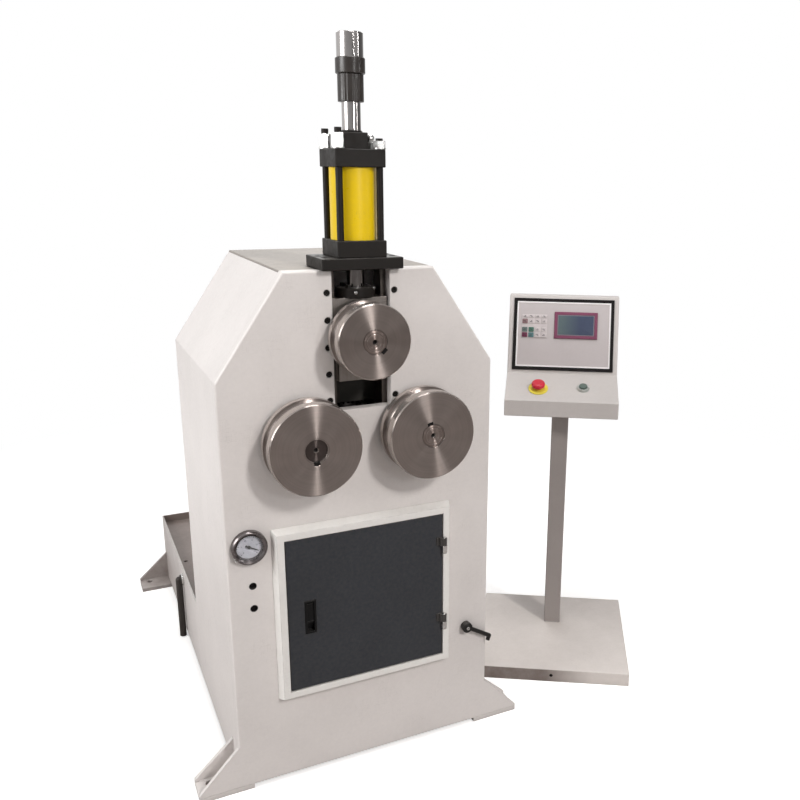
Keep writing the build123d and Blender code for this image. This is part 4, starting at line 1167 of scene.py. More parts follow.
class Workshop:
    """Dresses CAD nodes and fits new pieces to the machine's bodies."""

    def __init__(self) -> None:
        """Start with no finish made."""
        self.effects = Effects()
        self.made: dict[Finish, bpy.types.Material] = {}

    def material(self, finish: Finish) -> bpy.types.Material:
        """Make a finish's material, once.

        Args:
            finish: The finish.

        Returns:
            Its material.
        """
        if finish not in self.made:
            material = bpy.data.materials.new("finish " + finish.name)
            material.use_nodes = True
            coat = Coat(material, self.effects)
            coat.fill({"Specular IOR Level": finish.shine})
            finish.dress(coat)
            self.made[finish] = material
        return self.made[finish]

    def dress(self, node: str, finish: Finish) -> None:
        """Give a CAD node a finish.

        Args:
            node: The node's name.
            finish: The finish.
        """
        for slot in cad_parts[node].material_slots:
            slot.material = self.material(finish)
        log.info("%s is dressed in %s", node, finish.name)

    def fit(
        self, name: str, solid: Solid, finish: Finish, body: Body, stands_for: Sequence[str] = ()
    ) -> bpy.types.Object:
        """Add a new piece.

        Args:
            name: The piece's name.
            solid: Its mesh, which is used up.
            finish: Its finish.
            body: The body that it rides on.
            stands_for: The CAD nodes that it replaces.

        Returns:
            The piece.
        """
        mesh = bpy.data.meshes.new(name)
        for face in solid.faces:
            face.smooth = True
        solid.to_mesh(mesh)
        solid.free()
        mesh.set_sharp_from_angle(angle=SMOOTH_BELOW)
        mesh.materials.append(self.material(finish))
        piece = bpy.data.objects.new(name, mesh)
        bpy.context.scene.collection.objects.link(piece)
        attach(piece, body.value)
        if stands_for:
            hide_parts(*stands_for)
        log.info("%s is fitted to %s", name, body.value)
        return piece


@dataclass
class StudioCamera:
    """The camera at the photograph's viewing angle.

    Attributes:
        at: Where it stands.
        yaw: How far it looks to the right of the back, in degrees.
        pitch: How far it looks up, in degrees.
        roll: How far its right side is tilted up, in degrees.
        lens: Its focal length in millimetres.
        shift: How far its picture is shifted, as a share of its width.
    """

    at: Point = (-0.6199, -2.4033, 1.4276)
    yaw: float = 27.316
    pitch: float = -15.163
    roll: float = 0.922
    lens: float = 38.31
    shift: Pair = (-0.1001, 0.0062)

    def build(self) -> None:
        """Make the camera and look through it."""
        data = bpy.data.cameras.new("studio_camera")
        data.lens = self.lens
        data.shift_x, data.shift_y = self.shift
        camera = bpy.data.objects.new("studio_camera", data)
        turn = Matrix.Rotation(math.radians(-self.yaw), 3, "Z")
        lean = Matrix.Rotation(math.radians(90 + self.pitch), 3, "X")
        tilt = Matrix.Rotation(math.radians(self.roll), 3, "Z")
        camera.matrix_world = Matrix.Translation(self.at) @ (turn @ lean @ tilt).to_4x4()
        bpy.context.scene.collection.objects.link(camera)
        bpy.context.scene.camera = camera
        log.info("studio_camera is set")


@dataclass(frozen=True)
class Lamp:
    """A soft lamp.

    Attributes:
        name: Its name.
        at: Where it hangs.
        aim: What it shines at.
        size: Its width and height.
        power: Its power in watts.
        colour: Its colour.
    """

    name: str
    at: Point
    aim: Point
    size: Pair
    power: float
    colour: Point = (1.0, 1.0, 1.0)

    def hang(self) -> None:
        """Hang the lamp and aim it."""
        data = bpy.data.lights.new(self.name, "AREA")
        data.shape = "RECTANGLE"
        data.size, data.size_y = self.size
        data.energy = self.power
        data.color = self.colour
        light = bpy.data.objects.new(self.name, data)
        aim = Vector(self.aim) - Vector(self.at)
        light.matrix_world = Matrix.Translation(self.at) @ aim.to_track_quat("-Z", "Y").to_matrix().to_4x4()
        bpy.context.scene.collection.objects.link(light)


@dataclass
class Studio:
    """The pale floor, the white surround and the lamps.

    Attributes:
        floor_size: The floor's side.
        floor_middle: Where the floor's clear part has its middle.
        floor_fade: Where the floor starts and ends turning into the surround, from that middle.
        floor_roughness: The floor's roughness.
        floor_lift: The light that the floor adds in the picture, which makes it white.
        floor_gleam: The light that bright surfaces see on the floor behind the machine.
        floor_behind: Where that light starts and where it is full, along Y.
        floor_tones: The floor's colour as a light on other things, and in the picture.
        sky: The surround's light on dull surfaces.
        bands: What bright metal sees of the surround: the direction in degrees to the right of the
            front, and the light there.
        lamps: The lamps.
    """

    floor_size: float = 60.0
    floor_middle: Point = (0.3, 0.0, 0.0)
    floor_fade: Pair = (1.2, 2.8)
    floor_roughness: float = 0.9
    floor_lift: float = 0.5
    floor_gleam: float = 0.75
    floor_behind: Pair = (0.3, 1.5)
    floor_tones: tuple[Colour, Colour] = (tint(176, 171, 168), tint(235, 234, 232))
    sky: Colour = (0.21, 0.2, 0.2, 1.0)
    bands: ClassVar[tuple[Pair, ...]] = (
        (-180.0, 0.8), (-80.0, 1.0), (-70.0, 1.0), (-52.0, 0.5), (-20.0, 0.42), (0.0, 0.36), (5.0, 0.12),
        (10.0, 0.12), (15.0, 0.4), (50.0, 0.4), (62.0, 0.12), (110.0, 0.2), (150.0, 0.7), (180.0, 0.8))
    lamps: ClassVar[tuple[Lamp, ...]] = (
        Lamp("key_lamp", (1.65, -5.85, 4.6), (0.0, -0.6, 0.8), (0.6, 1.0), 174.0, (1.0, 0.97, 0.95)),
        Lamp("strip_lamp", (0.75, -3.6, 1.75), (0.0, -0.7, 0.9), (0.05, 0.45), 9.0),
        Lamp("side_strip", (2.8, -2.4, 2.05), (0.0, -0.7, 0.9), (0.06, 1.2), 6.0),
        Lamp("top_lamp", (0.3, -0.8, 4.2), (0.2, -0.5, 0.0), (1.2, 1.2), 50.0),
        Lamp("left_lamp", (-4.2, -0.9, 2.6), (-0.3, -0.1, 0.9), (2.2, 2.2), 144.0),
        Lamp("back_lamp", (1.0, 3.6, 3.2), (0.0, 0.0, 0.9), (2.4, 1.6), 40.0),
    )

    def build(self) -> None:
        """Make the floor, the surround and the lamps."""
        bpy.context.scene.view_settings.view_transform = "Standard"
        self.build_floor()
        self.build_surround()
        for lamp in self.lamps:
            lamp.hang()
        log.info("the studio is set")

    def build_floor(self) -> None:
        """Lay the floor."""
        half = self.floor_size / 2
        corners = [(-half, -half, 0.0), (half, -half, 0.0), (half, half, 0.0), (-half, half, 0.0)]
        mesh = bpy.data.meshes.new("floor")
        mesh.from_pydata(corners, [], [(0, 1, 2, 3)])
        mesh.materials.append(self.floor_material())
        floor = bpy.data.objects.new("floor", mesh)
        bpy.context.scene.collection.objects.link(floor)

    def floor_material(self) -> bpy.types.Material:
        """Make a pale material that keeps the machine's shadow and fades into white.

        Returns:
            The material.
        """
        material = bpy.data.materials.new("pale floor")
        material.use_nodes = True
        graph = Graph(material.node_tree)
        shader = material.node_tree.nodes["Principled BSDF"]
        path = graph.add("LightPath").outputs
        beyond = graph.add("SeparateXYZ", {0: graph.place()}).outputs["Y"]
        behind = graph.span(beyond, *self.floor_behind)
        gleam = graph.times(path["Is Glossy Ray"], behind, self.floor_gleam)
        lift = graph.times(path["Is Camera Ray"], self.floor_lift)
        for label, value in {
            "Base Color": graph.mix(path["Is Camera Ray"], *self.floor_tones),
            "Roughness": self.floor_roughness,
            "Specular IOR Level": 0.0,
            "Emission Color": WHITE,
            "Emission Strength": graph.maths("MAXIMUM", lift, gleam),
        }.items():
            graph.feed(shader.inputs[label], value)
        away = graph.vector("LENGTH", graph.vector("SUBTRACT", graph.place(), self.floor_middle))
        fade = graph.times(graph.span(away, *self.floor_fade), self.seen(graph))
        white = graph.add("Emission", {"Strength": 1.0})
        shown = graph.add("MixShader", {0: fade, 1: shader.outputs[0], 2: white.outputs[0]})
        graph.feed(material.node_tree.nodes["Material Output"].inputs["Surface"], shown.outputs[0])
        return material

    def build_surround(self) -> None:
        """Make the surround white in the picture and through glass, banded in metal, and soft as a light."""
        world = bpy.data.worlds.new("surround")
        world.use_nodes = True
        bpy.context.scene.world = world
        graph = Graph(world.node_tree)
        glossy = graph.add("LightPath").outputs["Is Glossy Ray"]
        mirrored = graph.mix(glossy, self.sky, self.mirrored_light(graph))
        background = world.node_tree.nodes["Background"].inputs
        graph.feed(background["Color"], graph.mix(self.seen(graph), mirrored, WHITE))
        graph.feed(background["Strength"], 1.0)

    def seen(self, graph: Graph) -> Socket:
        """Give 1 for what the camera sees, straight or through glass, and 0 for the rest."""
        path = graph.add("LightPath").outputs
        return graph.maths("MAXIMUM", path["Is Camera Ray"], path["Is Transmission Ray"])

    def mirrored_light(self, graph: Graph) -> Socket:
        """Give the light that bright metal sees, brighter and darker round the room.

        Args:
            graph: The surround's graph.

        Returns:
            The light's colour.
        """
        looking = graph.add("SeparateXYZ", {0: graph.add("TexCoord").outputs["Generated"]}).outputs
        turn = graph.maths("ARCTAN2", looking["X"], graph.times(looking["Y"], -1.0))
        ramp = graph.add("ValToRGB", {"Fac": graph.span(turn, -math.pi, math.pi)})
        stops = ramp.color_ramp.elements
        while len(stops) < len(self.bands):
            stops.new(1.0)
        for stop, (direction, light) in zip(stops, self.bands):
            stop.position = direction / 360 + 0.5
            stop.color = (light, light, light, 1.0)
        return ramp.outputs["Color"]


@dataclass
class SubAssembly:
    """A group of pieces that is dressed and detailed together.

    Attributes:
        shop: What dresses and fits the pieces.
        finishes: The finishes of its CAD nodes.
    """

    shop: Workshop
    finishes: ClassVar[dict[str, Finish]] = {}

    def build(self) -> None:
        """Dress the CAD nodes, then add the details."""
        for node, finish in self.finishes.items():
            self.shop.dress(node, finish)
        self.detail()

    def detail(self) -> None:
        """Add the pieces that only show."""


# The cabinet's and the feet's enamel darken towards the back.
CABINET_PAINT = Paint(
    "cabinet enamel", "cabinet_paint", tint(229, 224, 221), 0.42, edge=0.003,
    soil_and_shade=SoilAndShadeRun(Axis.Y.value, -0.1, 0.6, 0.7))
FOOT_PAINT = Paint(
    "foot enamel", "cabinet_paint", tint(226, 221, 218), 0.45, edge=0.003, wear=0.2, grime_and_shade=0.6, dust=0.1,
    soil_and_shade=SoilAndShadeRun(Axis.Y.value, -0.1, 0.6, 0.85))
# Slab enamel darkened towards its left end, mostly on its edge: a painted shadow of the cabinet.
SLAB_PAINT = Paint(
    "slab enamel", "cabinet_paint", tint(224, 217, 212), 0.42, edge=0.003,
    soil_and_shade=SoilAndShadeRun((-1.0, 0.0, 0.0), -0.68, -0.57, 0.95, level=0.12))
# Enamel for the top cover, much darker than the cabinet's.
DARK_TOP_PAINT = Paint(
    "dark top enamel", "cabinet_paint", tint(150, 143, 136), 0.55, edge=0.003, dust=0.5, grime_and_shade=0.6, contrast=0.1)
# Enamel for the base deck, much darker than the cabinet's.
TRAY_PAINT = Paint(
    "dark tray enamel", "cabinet_paint", tint(132, 119, 113), 0.5, edge=0.003, dust=0.1, grime_and_shade=0.9, contrast=0.14)
SHEET_PAINT = Paint("sheet enamel", "cabinet_paint", tint(232, 228, 226), 0.5, dust=0.0)
FRAME_PAINT = Paint("frame enamel", "cabinet_paint", tint(240, 238, 234), 0.42, edge=0.003)
DOOR_PAINT = Paint(
    "slate enamel", "door_paint", tint(52, 55, 60), 0.55, shine=0.2, under=tint(110, 110, 110), wear=0.15,
    contrast=0.1, dust=0.1)
BLACK_STEEL = Blackened("oil black", "black_oxide", tint(27, 23, 20), 0.5, shine=0.25)
COLLAR_BLACK = Blackened("collar black", "black_oxide", tint(48, 43, 40), 0.34)
LEVER_BLACK = Blackened("lever black", "lever_black", tint(30, 28, 27), 0.35, shine=0.35)
HINGE_DARK = Blackened("hinge black", "hinge_dark", tint(58, 56, 54), 0.42, rub=0.8)
CHROME = Plating("hard chrome", "chrome", tint(186, 182, 180), 0.12, edge=0.0001, scratch=0.08)
GAUGE_CHROME = Plating("gauge chrome", "chrome", tint(118, 112, 112), 0.24)
ZINC = Plating("bright zinc", "zinc", tint(214, 213, 211), 0.22, edge=0.0006)
BEARING_STEEL = Plating("bearing steel", "bearing_steel", tint(180, 178, 176), 0.2)
GROUND_STEEL = GroundSteel("ground steel", "ground_steel", tint(155, 148, 143), 0.36)
GIB_STEEL = GroundSteel("gib steel", "ground_steel", tint(92, 86, 82), 0.42)
YELLOW = Paint(
    "cylinder yellow", "cylinder_yellow", tint(250, 212, 4), 0.32, under=tint(150, 130, 60), dust=0.1,
    grime_and_shade=0.06)
DESK_PAINT = Paint("desk enamel", "desk_paint", tint(204, 199, 196), 0.45, edge=0.0025)
POST_PAINT = Paint("post enamel", "post_paint", tint(163, 156, 153), 0.45)
MOTOR_PAINT = Paint("motor grey", "motor_paint", tint(92, 104, 112), 0.45, wear=0.3, contrast=0.08)
TANK_PAINT = Paint("tank grey", "tank_paint", tint(120, 122, 122), 0.48, wear=0.3, contrast=0.08)
CONDUIT_GREY = Moulding("conduit grey", "conduit_black", tint(58, 53, 50), 0.5, shine=0.3)
LATCH_BLACK = Moulding("latch black", "latch_black", tint(16, 16, 17), 0.38, shine=0.18)
# A dark colour for the sheet that paints the shade in the slot under the slide.
SLOT_SHADE = Moulding("slot shade", "gasket_black", tint(66, 64, 60), 0.6, shine=0.2)
# Black rubber for seals and plugs; the same black paints the shade in the spare holes, the centre holes and
# the keyways.
BLACK_RUBBER_AND_SHADE = Moulding("black rubber and shade", "gasket_black", tint(18, 14, 14), 0.65, shine=0.2, relief=0.4)
FASCIA_WHITE = Paint(
    "fascia film", "fascia_white", tint(188, 181, 181), 0.5, wear=0.0, dust=0.05, grime_and_shade=0.15, relief=0.05)
FASCIA_EDGE = Moulding("fascia edge", "fascia_white", tint(240, 237, 237), 0.4)
KEYPAD_GREY = Moulding("key film", "keypad_grey", tint(198, 190, 190), 0.45)
SCREEN_MAROON = Moulding("screen bezel", "screen_maroon", tint(122, 62, 88), 0.42)
SCREEN_EDGE = Moulding("screen edge", "screen_maroon", tint(128, 122, 132), 0.4)
ESTOP_YELLOW = Moulding("stop ring yellow", "estop_yellow", tint(236, 222, 70), 0.4)
ESTOP_RED = Moulding("stop button red", "estop_red", tint(206, 34, 56), 0.3)
START_BEZEL = Plating("button bezel", "start_bezel", tint(214, 218, 214), 0.3)
START_GREEN = Moulding("start button green", "start_green", tint(84, 104, 96), 0.35)
DIAL_GREY = Paint(
    "dial face", "dial_grey", tint(152, 152, 159), 0.5, wear=0.0, dust=0.0, grime_and_shade=0.3, relief=0.02)
DIAL_INK = Moulding("dial ink", "needle_black", tint(40, 40, 44), 0.6)
NEEDLE_BLACK = Moulding("needle black", "needle_black", tint(18, 18, 18), 0.45)
CLEAR_GLASS = Glass("clear glass", "dial_grey", WHITE, 0.0)


@dataclass
class CabinetShell(SubAssembly):
    """The cabinet's plates, its base and its feet.

    Attributes:
        hole_x: Where the two spare holes are, across.
        hole_levels: Their heights.
        plug_profile: The profile of the black plugs in them, which paint the holes' shade, in millimetres
            from the front face.
        louvre_w: The rear louvres' width.
        louvre_low: The top of the lowest louvre's slot.
        louvre_pitch: The step from one louvre to the next.
        louvre_count: How many louvres there are.
        hood_r: How far the louvres' hoods stand out.
        hood_drop: How far the hoods' mouths are below the slots' tops.
        hood_steps: How many steps a hood's curve has.
        foot_top: The top of the foot plates.
        gusset_top: The top of the gussets.
        foot_reach: How far the feet reach beyond the walls.
        gusset_faces: The gusset faces that are welded on, along Y.
        gland_at: The middle of the conduit's gland on the left wall.
        nut_profile: The profile of the gland's lock nut, in millimetres.
    """

    hole_x: float = -0.270
    hole_levels: Pair = (0.5254, 0.4701)
    plug_profile: Outline = (
        (0.0, -8.0), (7.1, -8.0), (7.6, -1.0), (8.6, -1.0), (8.6, -16.0), (0.0, -16.0))
    louvre_w: float = 0.160
    louvre_low: float = 0.422
    louvre_pitch: float = 0.028
    louvre_count: int = 6
    hood_r: float = 0.012
    hood_drop: float = 0.0036
    hood_steps: int = 8
    foot_top: float = 0.012
    gusset_top: float = 0.100
    foot_reach: float = 0.087
    gusset_faces: tuple[float, ...] = (-0.6175, -0.5625, -0.5525, 0.5925, 0.6025)
    gland_at: Point = (-0.325, 0.1675, 0.194)
    nut_profile: Outline = ((14.2, 0.0), (17.7, 0.0), (17.7, 4.5), (16.2, 6.0), (14.2, 6.0))
    finishes: ClassVar[dict[str, Finish]] = {
        node: CABINET_PAINT for node in ("front_plate", "left_side", "right_side", "rear_wall")
    } | {
        "door_frame": FRAME_PAINT,
        "foot_brackets": FOOT_PAINT,
        "top_cover": DARK_TOP_PAINT,
        "base_deck": TRAY_PAINT,
        "conduit": CONDUIT_GREY,
        "cap_screws": BLACK_STEEL,
    }

    def detail(self) -> None:
        """Add the conduit's lock nut, the black plugs that paint the spare holes' shade, the louvres' hoods
        and the feet's welds.
        """
        self.fit_nut()
        self.fit_plugs()
        self.fit_hoods()
        self.lay_welds()

    def fit_nut(self) -> None:
        """Put the lock nut on the conduit's gland."""
        place = from_axes(Vector(self.gland_at), TO_BACK, -TO_RIGHT)
        nut = lathed(scaled(self.nut_profile), place, steps=32, closed=True)
        self.shop.fit("gland_nut", nut, ZINC, Body.CABINET)

    def fit_plugs(self) -> None:
        """Put black plugs in the spare holes, which paint the shade inside them."""
        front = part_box("front_plate")[0].y
        outline = scaled(self.plug_profile)
        places = [on_front(Vector((self.hole_x, front, level))) for level in self.hole_levels]
        plugs = [lathed(outline, place, steps=32) for place in places]
        self.shop.fit("hole_shade_plugs", gathered(plugs), BLACK_RUBBER_AND_SHADE, Body.CABINET)

    def fit_hoods(self) -> None:
        """Put a pressed hood over each rear louvre slot."""
        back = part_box("rear_wall")[1].y
        turns = [math.pi / 2 * step / self.hood_steps for step in range(self.hood_steps + 1)]
        curve = [(self.hood_r * math.sin(turn), self.hood_r * math.cos(turn)) for turn in turns]
        outline = [(0.0, 0.0), *reversed(curve)]
        hoods = []
        for row in range(self.louvre_count):
            mouth = self.louvre_low + row * self.louvre_pitch - self.hood_drop
            at = Vector((-self.louvre_w / 2, back, mouth))
            hoods.append(raised(outline, self.louvre_w, from_axes(at, TO_BACK, TO_RIGHT)))
        self.shop.fit("louvre_hoods", gathered(hoods), CABINET_PAINT, Body.CABINET)

    def lay_welds(self) -> None:
        """Lay the beads that hold the gussets to the walls and the foot plates."""
        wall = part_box("right_side")[1].x
        beads = []
        for side in (-1, 1):
            for y in self.gusset_faces:
                low = Vector((side * wall, y, self.foot_top))
                beads.append(weld_bead(low, low + UP * (self.gusset_top - self.foot_top)))
                beads.append(weld_bead(low, low + Vector((side * self.foot_reach, 0.0, 0.0))))
        self.shop.fit("foot_welds", gathered(beads), FOOT_PAINT, Body.CABINET)


@dataclass
class RollerStation(SubAssembly):
    """The three rollers with their shafts, bearings, gears and slide.

    Attributes:
        face_colour: The rollers' colour.
        face_roughness: The rollers' roughness.
        shaft_colour: The shafts' colour.
        dark_shaft_colour: The left shaft's colour, darker than the others.
        gear_colour: The gears' colour.
        core_roughness: The roughness of the shafts and the gears.
        hole_profile: The black lining of the centre holes in the shafts' ends, which paints their oil and
            shade, in millimetres.
        sunk_from: How far back a shaft's end is, at the least, where it has no ring.
        ring_profile: The profile of the rings on the shafts' ends, in millimetres.
        keyway: The black filling on a keyway's floor, which paints its shade.
        key_r: The radius where the keyways start.
        key_set: How far their floors are behind the rollers' faces.
        key_angles: Where they are, in degrees from the right.
        sheet: The sheet behind the slide.
        sheet_at: Its middle.
        shade_curtain: The dark sheet under the slide, which paints the shade in the slot.
        shade_curtain_at: Its middle.
    """

    face_colour: Colour = tint(137, 127, 122)
    face_roughness: float = 0.28
    shaft_colour: Colour = tint(132, 119, 113)
    dark_shaft_colour: Colour = tint(80, 71, 68)
    gear_colour: Colour = tint(42, 39, 37)
    core_roughness: float = 0.4
    hole_profile: Outline = ((0.0, -10.67), (4.44, -2.64), (4.2, -2.42), (0.0, -10.23))
    sunk_from: float = 0.004
    ring_profile: Outline = (
        (6.2, -2.3), (6.2, -0.5), (12.502, -0.5), (13.034, 0.1), (17.556, 0.1), (18.088, -0.4),
        (20.216, -0.4), (20.482, 0.4), (23.142, 0.4), (26.6, -1.9))
    keyway: Plate = Plate(0.0078, 0.0136, 0.0052, 0.0006, steps=3)
    key_r: float = 0.0251
    key_set: float = 0.006
    key_angles: ClassVar[dict[Body, float]] = {
        Body.TOP_ROLLER: -45.0, Body.LEFT_ROLLER: -90.0, Body.RIGHT_ROLLER: 105.0}
    sheet: Plate = Plate(0.24, 0.236, 0.0025, 0.002, 0.0005)
    sheet_at: Point = (0.0, -0.512, 1.101)
    shade_curtain: Plate = Plate(0.168, 0.083, 0.0025, 0.002, 0.0005)
    shade_curtain_at: Point = (0.0, -0.5245, 0.9435)
    finishes: ClassVar[dict[str, Finish]] = {
        "slide_block": GROUND_STEEL,
        "slide_gibs": GIB_STEEL,
        "bearing_plate": CABINET_PAINT,
        "lower_bearings": BEARING_STEEL,
        "top_bearings": BEARING_STEEL,
    }

    def build(self) -> None:
        """Dress the turned pieces about their own axes, then the rest."""
        for side in ("left", "right", "top"):
            self.turned(side + "_roller", self.face_colour, self.face_roughness, "roller_steel")
            colour = self.dark_shaft_colour if side == "left" else self.shaft_colour
            self.turned(side + "_shaft", colour, self.core_roughness, "shaft_steel")
        for gear in ("left_gear", "right_gear", "drive_pinion"):
            self.turned(gear, self.gear_colour, self.core_roughness, "gear_steel")
        super().build()

    def detail(self) -> None:
        """Finish the shafts' ends with black pieces that paint their shade, and hang the sheets in the slot,
        the lower one a dark sheet that paints the shade there.
        """
        for body, angle in self.key_angles.items():
            self.finish_end(body, angle)
        for name, sheet, at, finish in (
            ("slot_sheet", self.sheet, self.sheet_at, SHEET_PAINT),
            # The dark sheet under the slide paints the shade in the slot.
            ("slot_shade_curtain", self.shade_curtain, self.shade_curtain_at, SLOT_SHADE),
        ):
            self.shop.fit(name, sheet.at(on_front(Vector(at))), finish, Body.CABINET)

    def finish_end(self, body: Body, angle: float) -> None:
        """Add a black lining in a shaft's centre hole and a black filling in its keyway, which paint oil and
        shade in the hole and shade in the keyway, and a turned ring if its end isn't sunk.

        Args:
            body: The roller's body.
            angle: Where its keyway is, in degrees from the right.
        """
        side = body.value.removesuffix("_roller_set")
        centre = middle(side + "_roller")
        centre.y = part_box(side + "_roller")[0].y
        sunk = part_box(side + "_shaft")[0].y - centre.y
        place = on_front(centre)
        hole = lathed(scaled(self.hole_profile), place @ Matrix.Translation((0.0, 0.0, -sunk)), steps=32)
        along = spoke(angle)
        at = centre + along * (self.key_r + self.keyway.width / 2) - TO_FRONT * self.key_set
        keyway = self.keyway.at(from_axes(at, along, TO_FRONT))
        # The black lining and filling paint the shade in the centre hole and the keyway.
        self.shop.fit(side + "_end_holes", gathered((hole, keyway)), BLACK_RUBBER_AND_SHADE, body)
        if sunk > self.sunk_from:
            return
        ring = lathed(scaled(self.ring_profile), place, steps=64, closed=True)
        finish = TurnedSteel(
            side + " end ring", "shaft_steel", self.shaft_colour, self.core_roughness, centre=tuple(centre))
        self.shop.fit(side + "_end_ring", ring, finish, body)

    def turned(self, node: str, colour: Colour, roughness: float, slot: str) -> None:
        """Dress a piece that was turned about a Y axis.

        Args:
            node: The CAD node's name.
            colour: Its colour.
            roughness: Its roughness.
            slot: Its material slot.
        """
        finish = TurnedSteel(node.replace("_", " "), slot, colour, roughness, centre=tuple(middle(node)))
        if slot == "gear_steel":
            finish = replace(finish, rim=colour)
        self.shop.dress(node, finish)


@dataclass
class RamCylinder(SubAssembly):
    """The hydraulic cylinder on the crown and its ram.

    Attributes:
        stud_d: The tie rods' diameter.
        stud_tops: The tops of the left and right tie rods.
        nut_tops: The tops of the left and right nuts.
        thread_pitch: The pitch of the tie rods' thread.
        thread_crest: How far the thread's crests stand out of the rods.
        thread_root: How far its roots are inside the rods' faces.
        thread_core: How far its back is inside the rods' faces.
        collar_low: The lower end of the stop collar's fluted part.
        collar_tall: The height of that part.
        collar_d: Its diameter.
        collar_wall: How far its back is inside that diameter.
        flutes: How many flutes it has.
        ridge: How far the ridges between the flutes stand out.
        groove: How far the flutes' floors stand out.
        wiper_profile: The profile of the rod's wiper, in millimetres.
        screws: The rod flange's screws, in degrees to the right of its front, with their heights over
            its base.
        screw: The diameter and height of their heads.
    """

    stud_d: float = 0.015
    stud_tops: Pair = (1.517, 1.497)
    nut_tops: Pair = (1.506, 1.492)
    thread_pitch: float = 0.002
    thread_crest: float = 0.00045
    thread_root: float = 0.0001
    thread_core: float = 0.0006
    collar_low: float = 1.5705
    collar_tall: float = 0.054
    collar_d: float = 0.053
    collar_wall: float = 0.0015
    flutes: int = 20
    ridge: float = 0.001
    groove: float = 0.00015
    wiper_profile: Outline = ((20.3, 0.0), (23.0, 0.0), (23.0, 2.0), (22.0, 3.0), (20.3, 4.5))
    screws: tuple[Pair, ...] = ((-17.0, 0.013), (48.0, 0.020))
    screw: Pair = (0.008, 0.003)
    finishes: ClassVar[dict[str, Finish]] = {
        "cylinder_flange": BLACK_STEEL,
        "lower_cap": BLACK_STEEL,
        "upper_cap": BLACK_STEEL,
        "rod_gland": BLACK_STEEL,
        "tie_rods": BLACK_STEEL,
        "tie_nuts": ZINC,
        "port_fittings": ZINC,
        "barrel": YELLOW,
        "piston_rod": CHROME,
        "top_sleeve": CHROME,
        "stop_collar": COLLAR_BLACK,
        "rod_flange": BLACK_STEEL,
    }

    def detail(self) -> None:
        """Add the tie rods' threads, the collar's flutes, the rod's wiper and its flange's screws."""
        axis = middle("barrel")
        self.cut_threads()
        self.fit_flutes(axis)
        self.fit_wiper(axis)
        self.fit_screws(axis)

    def cut_threads(self) -> None:
        """Put thread crests on the tie rods' ends above their nuts."""
        low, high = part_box("tie_rods")
        radius, pitch = self.stud_d / 2, self.thread_pitch
        core = radius - self.thread_core
        crests = []
        for x, top, nut in zip((low.x + radius, high.x - radius), self.stud_tops, self.nut_tops):
            turns = int((top - nut) / pitch)
            outline = [(core, 0.0)]
            for turn in range(turns):
                outline.append((radius + self.thread_crest, (turn + 0.5) * pitch))
                outline.append((radius - self.thread_root, (turn + 1) * pitch))
            outline.append((core, turns * pitch))
            for y in (low.y + radius, high.y - radius):
                crests.append(lathed(outline, Matrix.Translation((x, y, nut)), steps=24, closed=True))
        self.shop.fit("stud_threads", gathered(crests), BLACK_STEEL, Body.CABINET)

    def fit_flutes(self, axis: Vector) -> None:
        """Put shallow flutes round the stop collar's lower part.

        Args:
            axis: A point on the cylinder's axis.
        """
        steps = 4 * self.flutes
        outer = []
        for step in range(steps):
            radius = self.collar_d / 2 + (self.ridge if step % 4 in (1, 2) else self.groove)
            turn = math.tau * step / steps
            outer.append((radius * math.cos(turn), radius * math.sin(turn)))
        inner = circle(self.collar_d - 2 * self.collar_wall, steps)
        rings = ((inner, 0.0), (outer, 0.0), (outer, self.collar_tall), (inner, self.collar_tall))
        solid = bmesh.new()
        rows = [[solid.verts.new((x, y, level)) for x, y in ring] for ring, level in rings]
        for row, after in zip(rows, rows[1:] + rows[:1]):
            bridge(solid, row, after)
        bmesh.ops.recalc_face_normals(solid, faces=solid.faces)
        solid.transform(Matrix.Translation((axis.x, axis.y, self.collar_low)))
        self.shop.fit("collar_flutes", solid, COLLAR_BLACK, Body.RAM)

    def fit_wiper(self, axis: Vector) -> None:
        """Put the rod's wiper on the gland.

        Args:
            axis: A point on the cylinder's axis.
        """
        place = Matrix.Translation((axis.x, axis.y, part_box("rod_gland")[1].z))
        wiper = lathed(scaled(self.wiper_profile), place, closed=True)
        self.shop.fit("rod_wiper", wiper, BLACK_RUBBER_AND_SHADE, Body.CABINET)

    def fit_screws(self, axis: Vector) -> None:
        """Put screws in the rim of the rod's flange.

        Args:
            axis: A point on the cylinder's axis.
        """
        low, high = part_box("rod_flange")
        heads = []
        for angle, level in self.screws:
            turn = math.radians(angle)
            out = Vector((math.sin(turn), -math.cos(turn), 0.0))
            spot = Vector((axis.x, axis.y, low.z + level)) + out * (high.x - low.x) / 2
            heads.append(screw_head(from_axes(spot, UP.cross(out), out), *self.screw))
        self.shop.fit("flange_screws", gathered(heads), ZINC, Body.RAM)


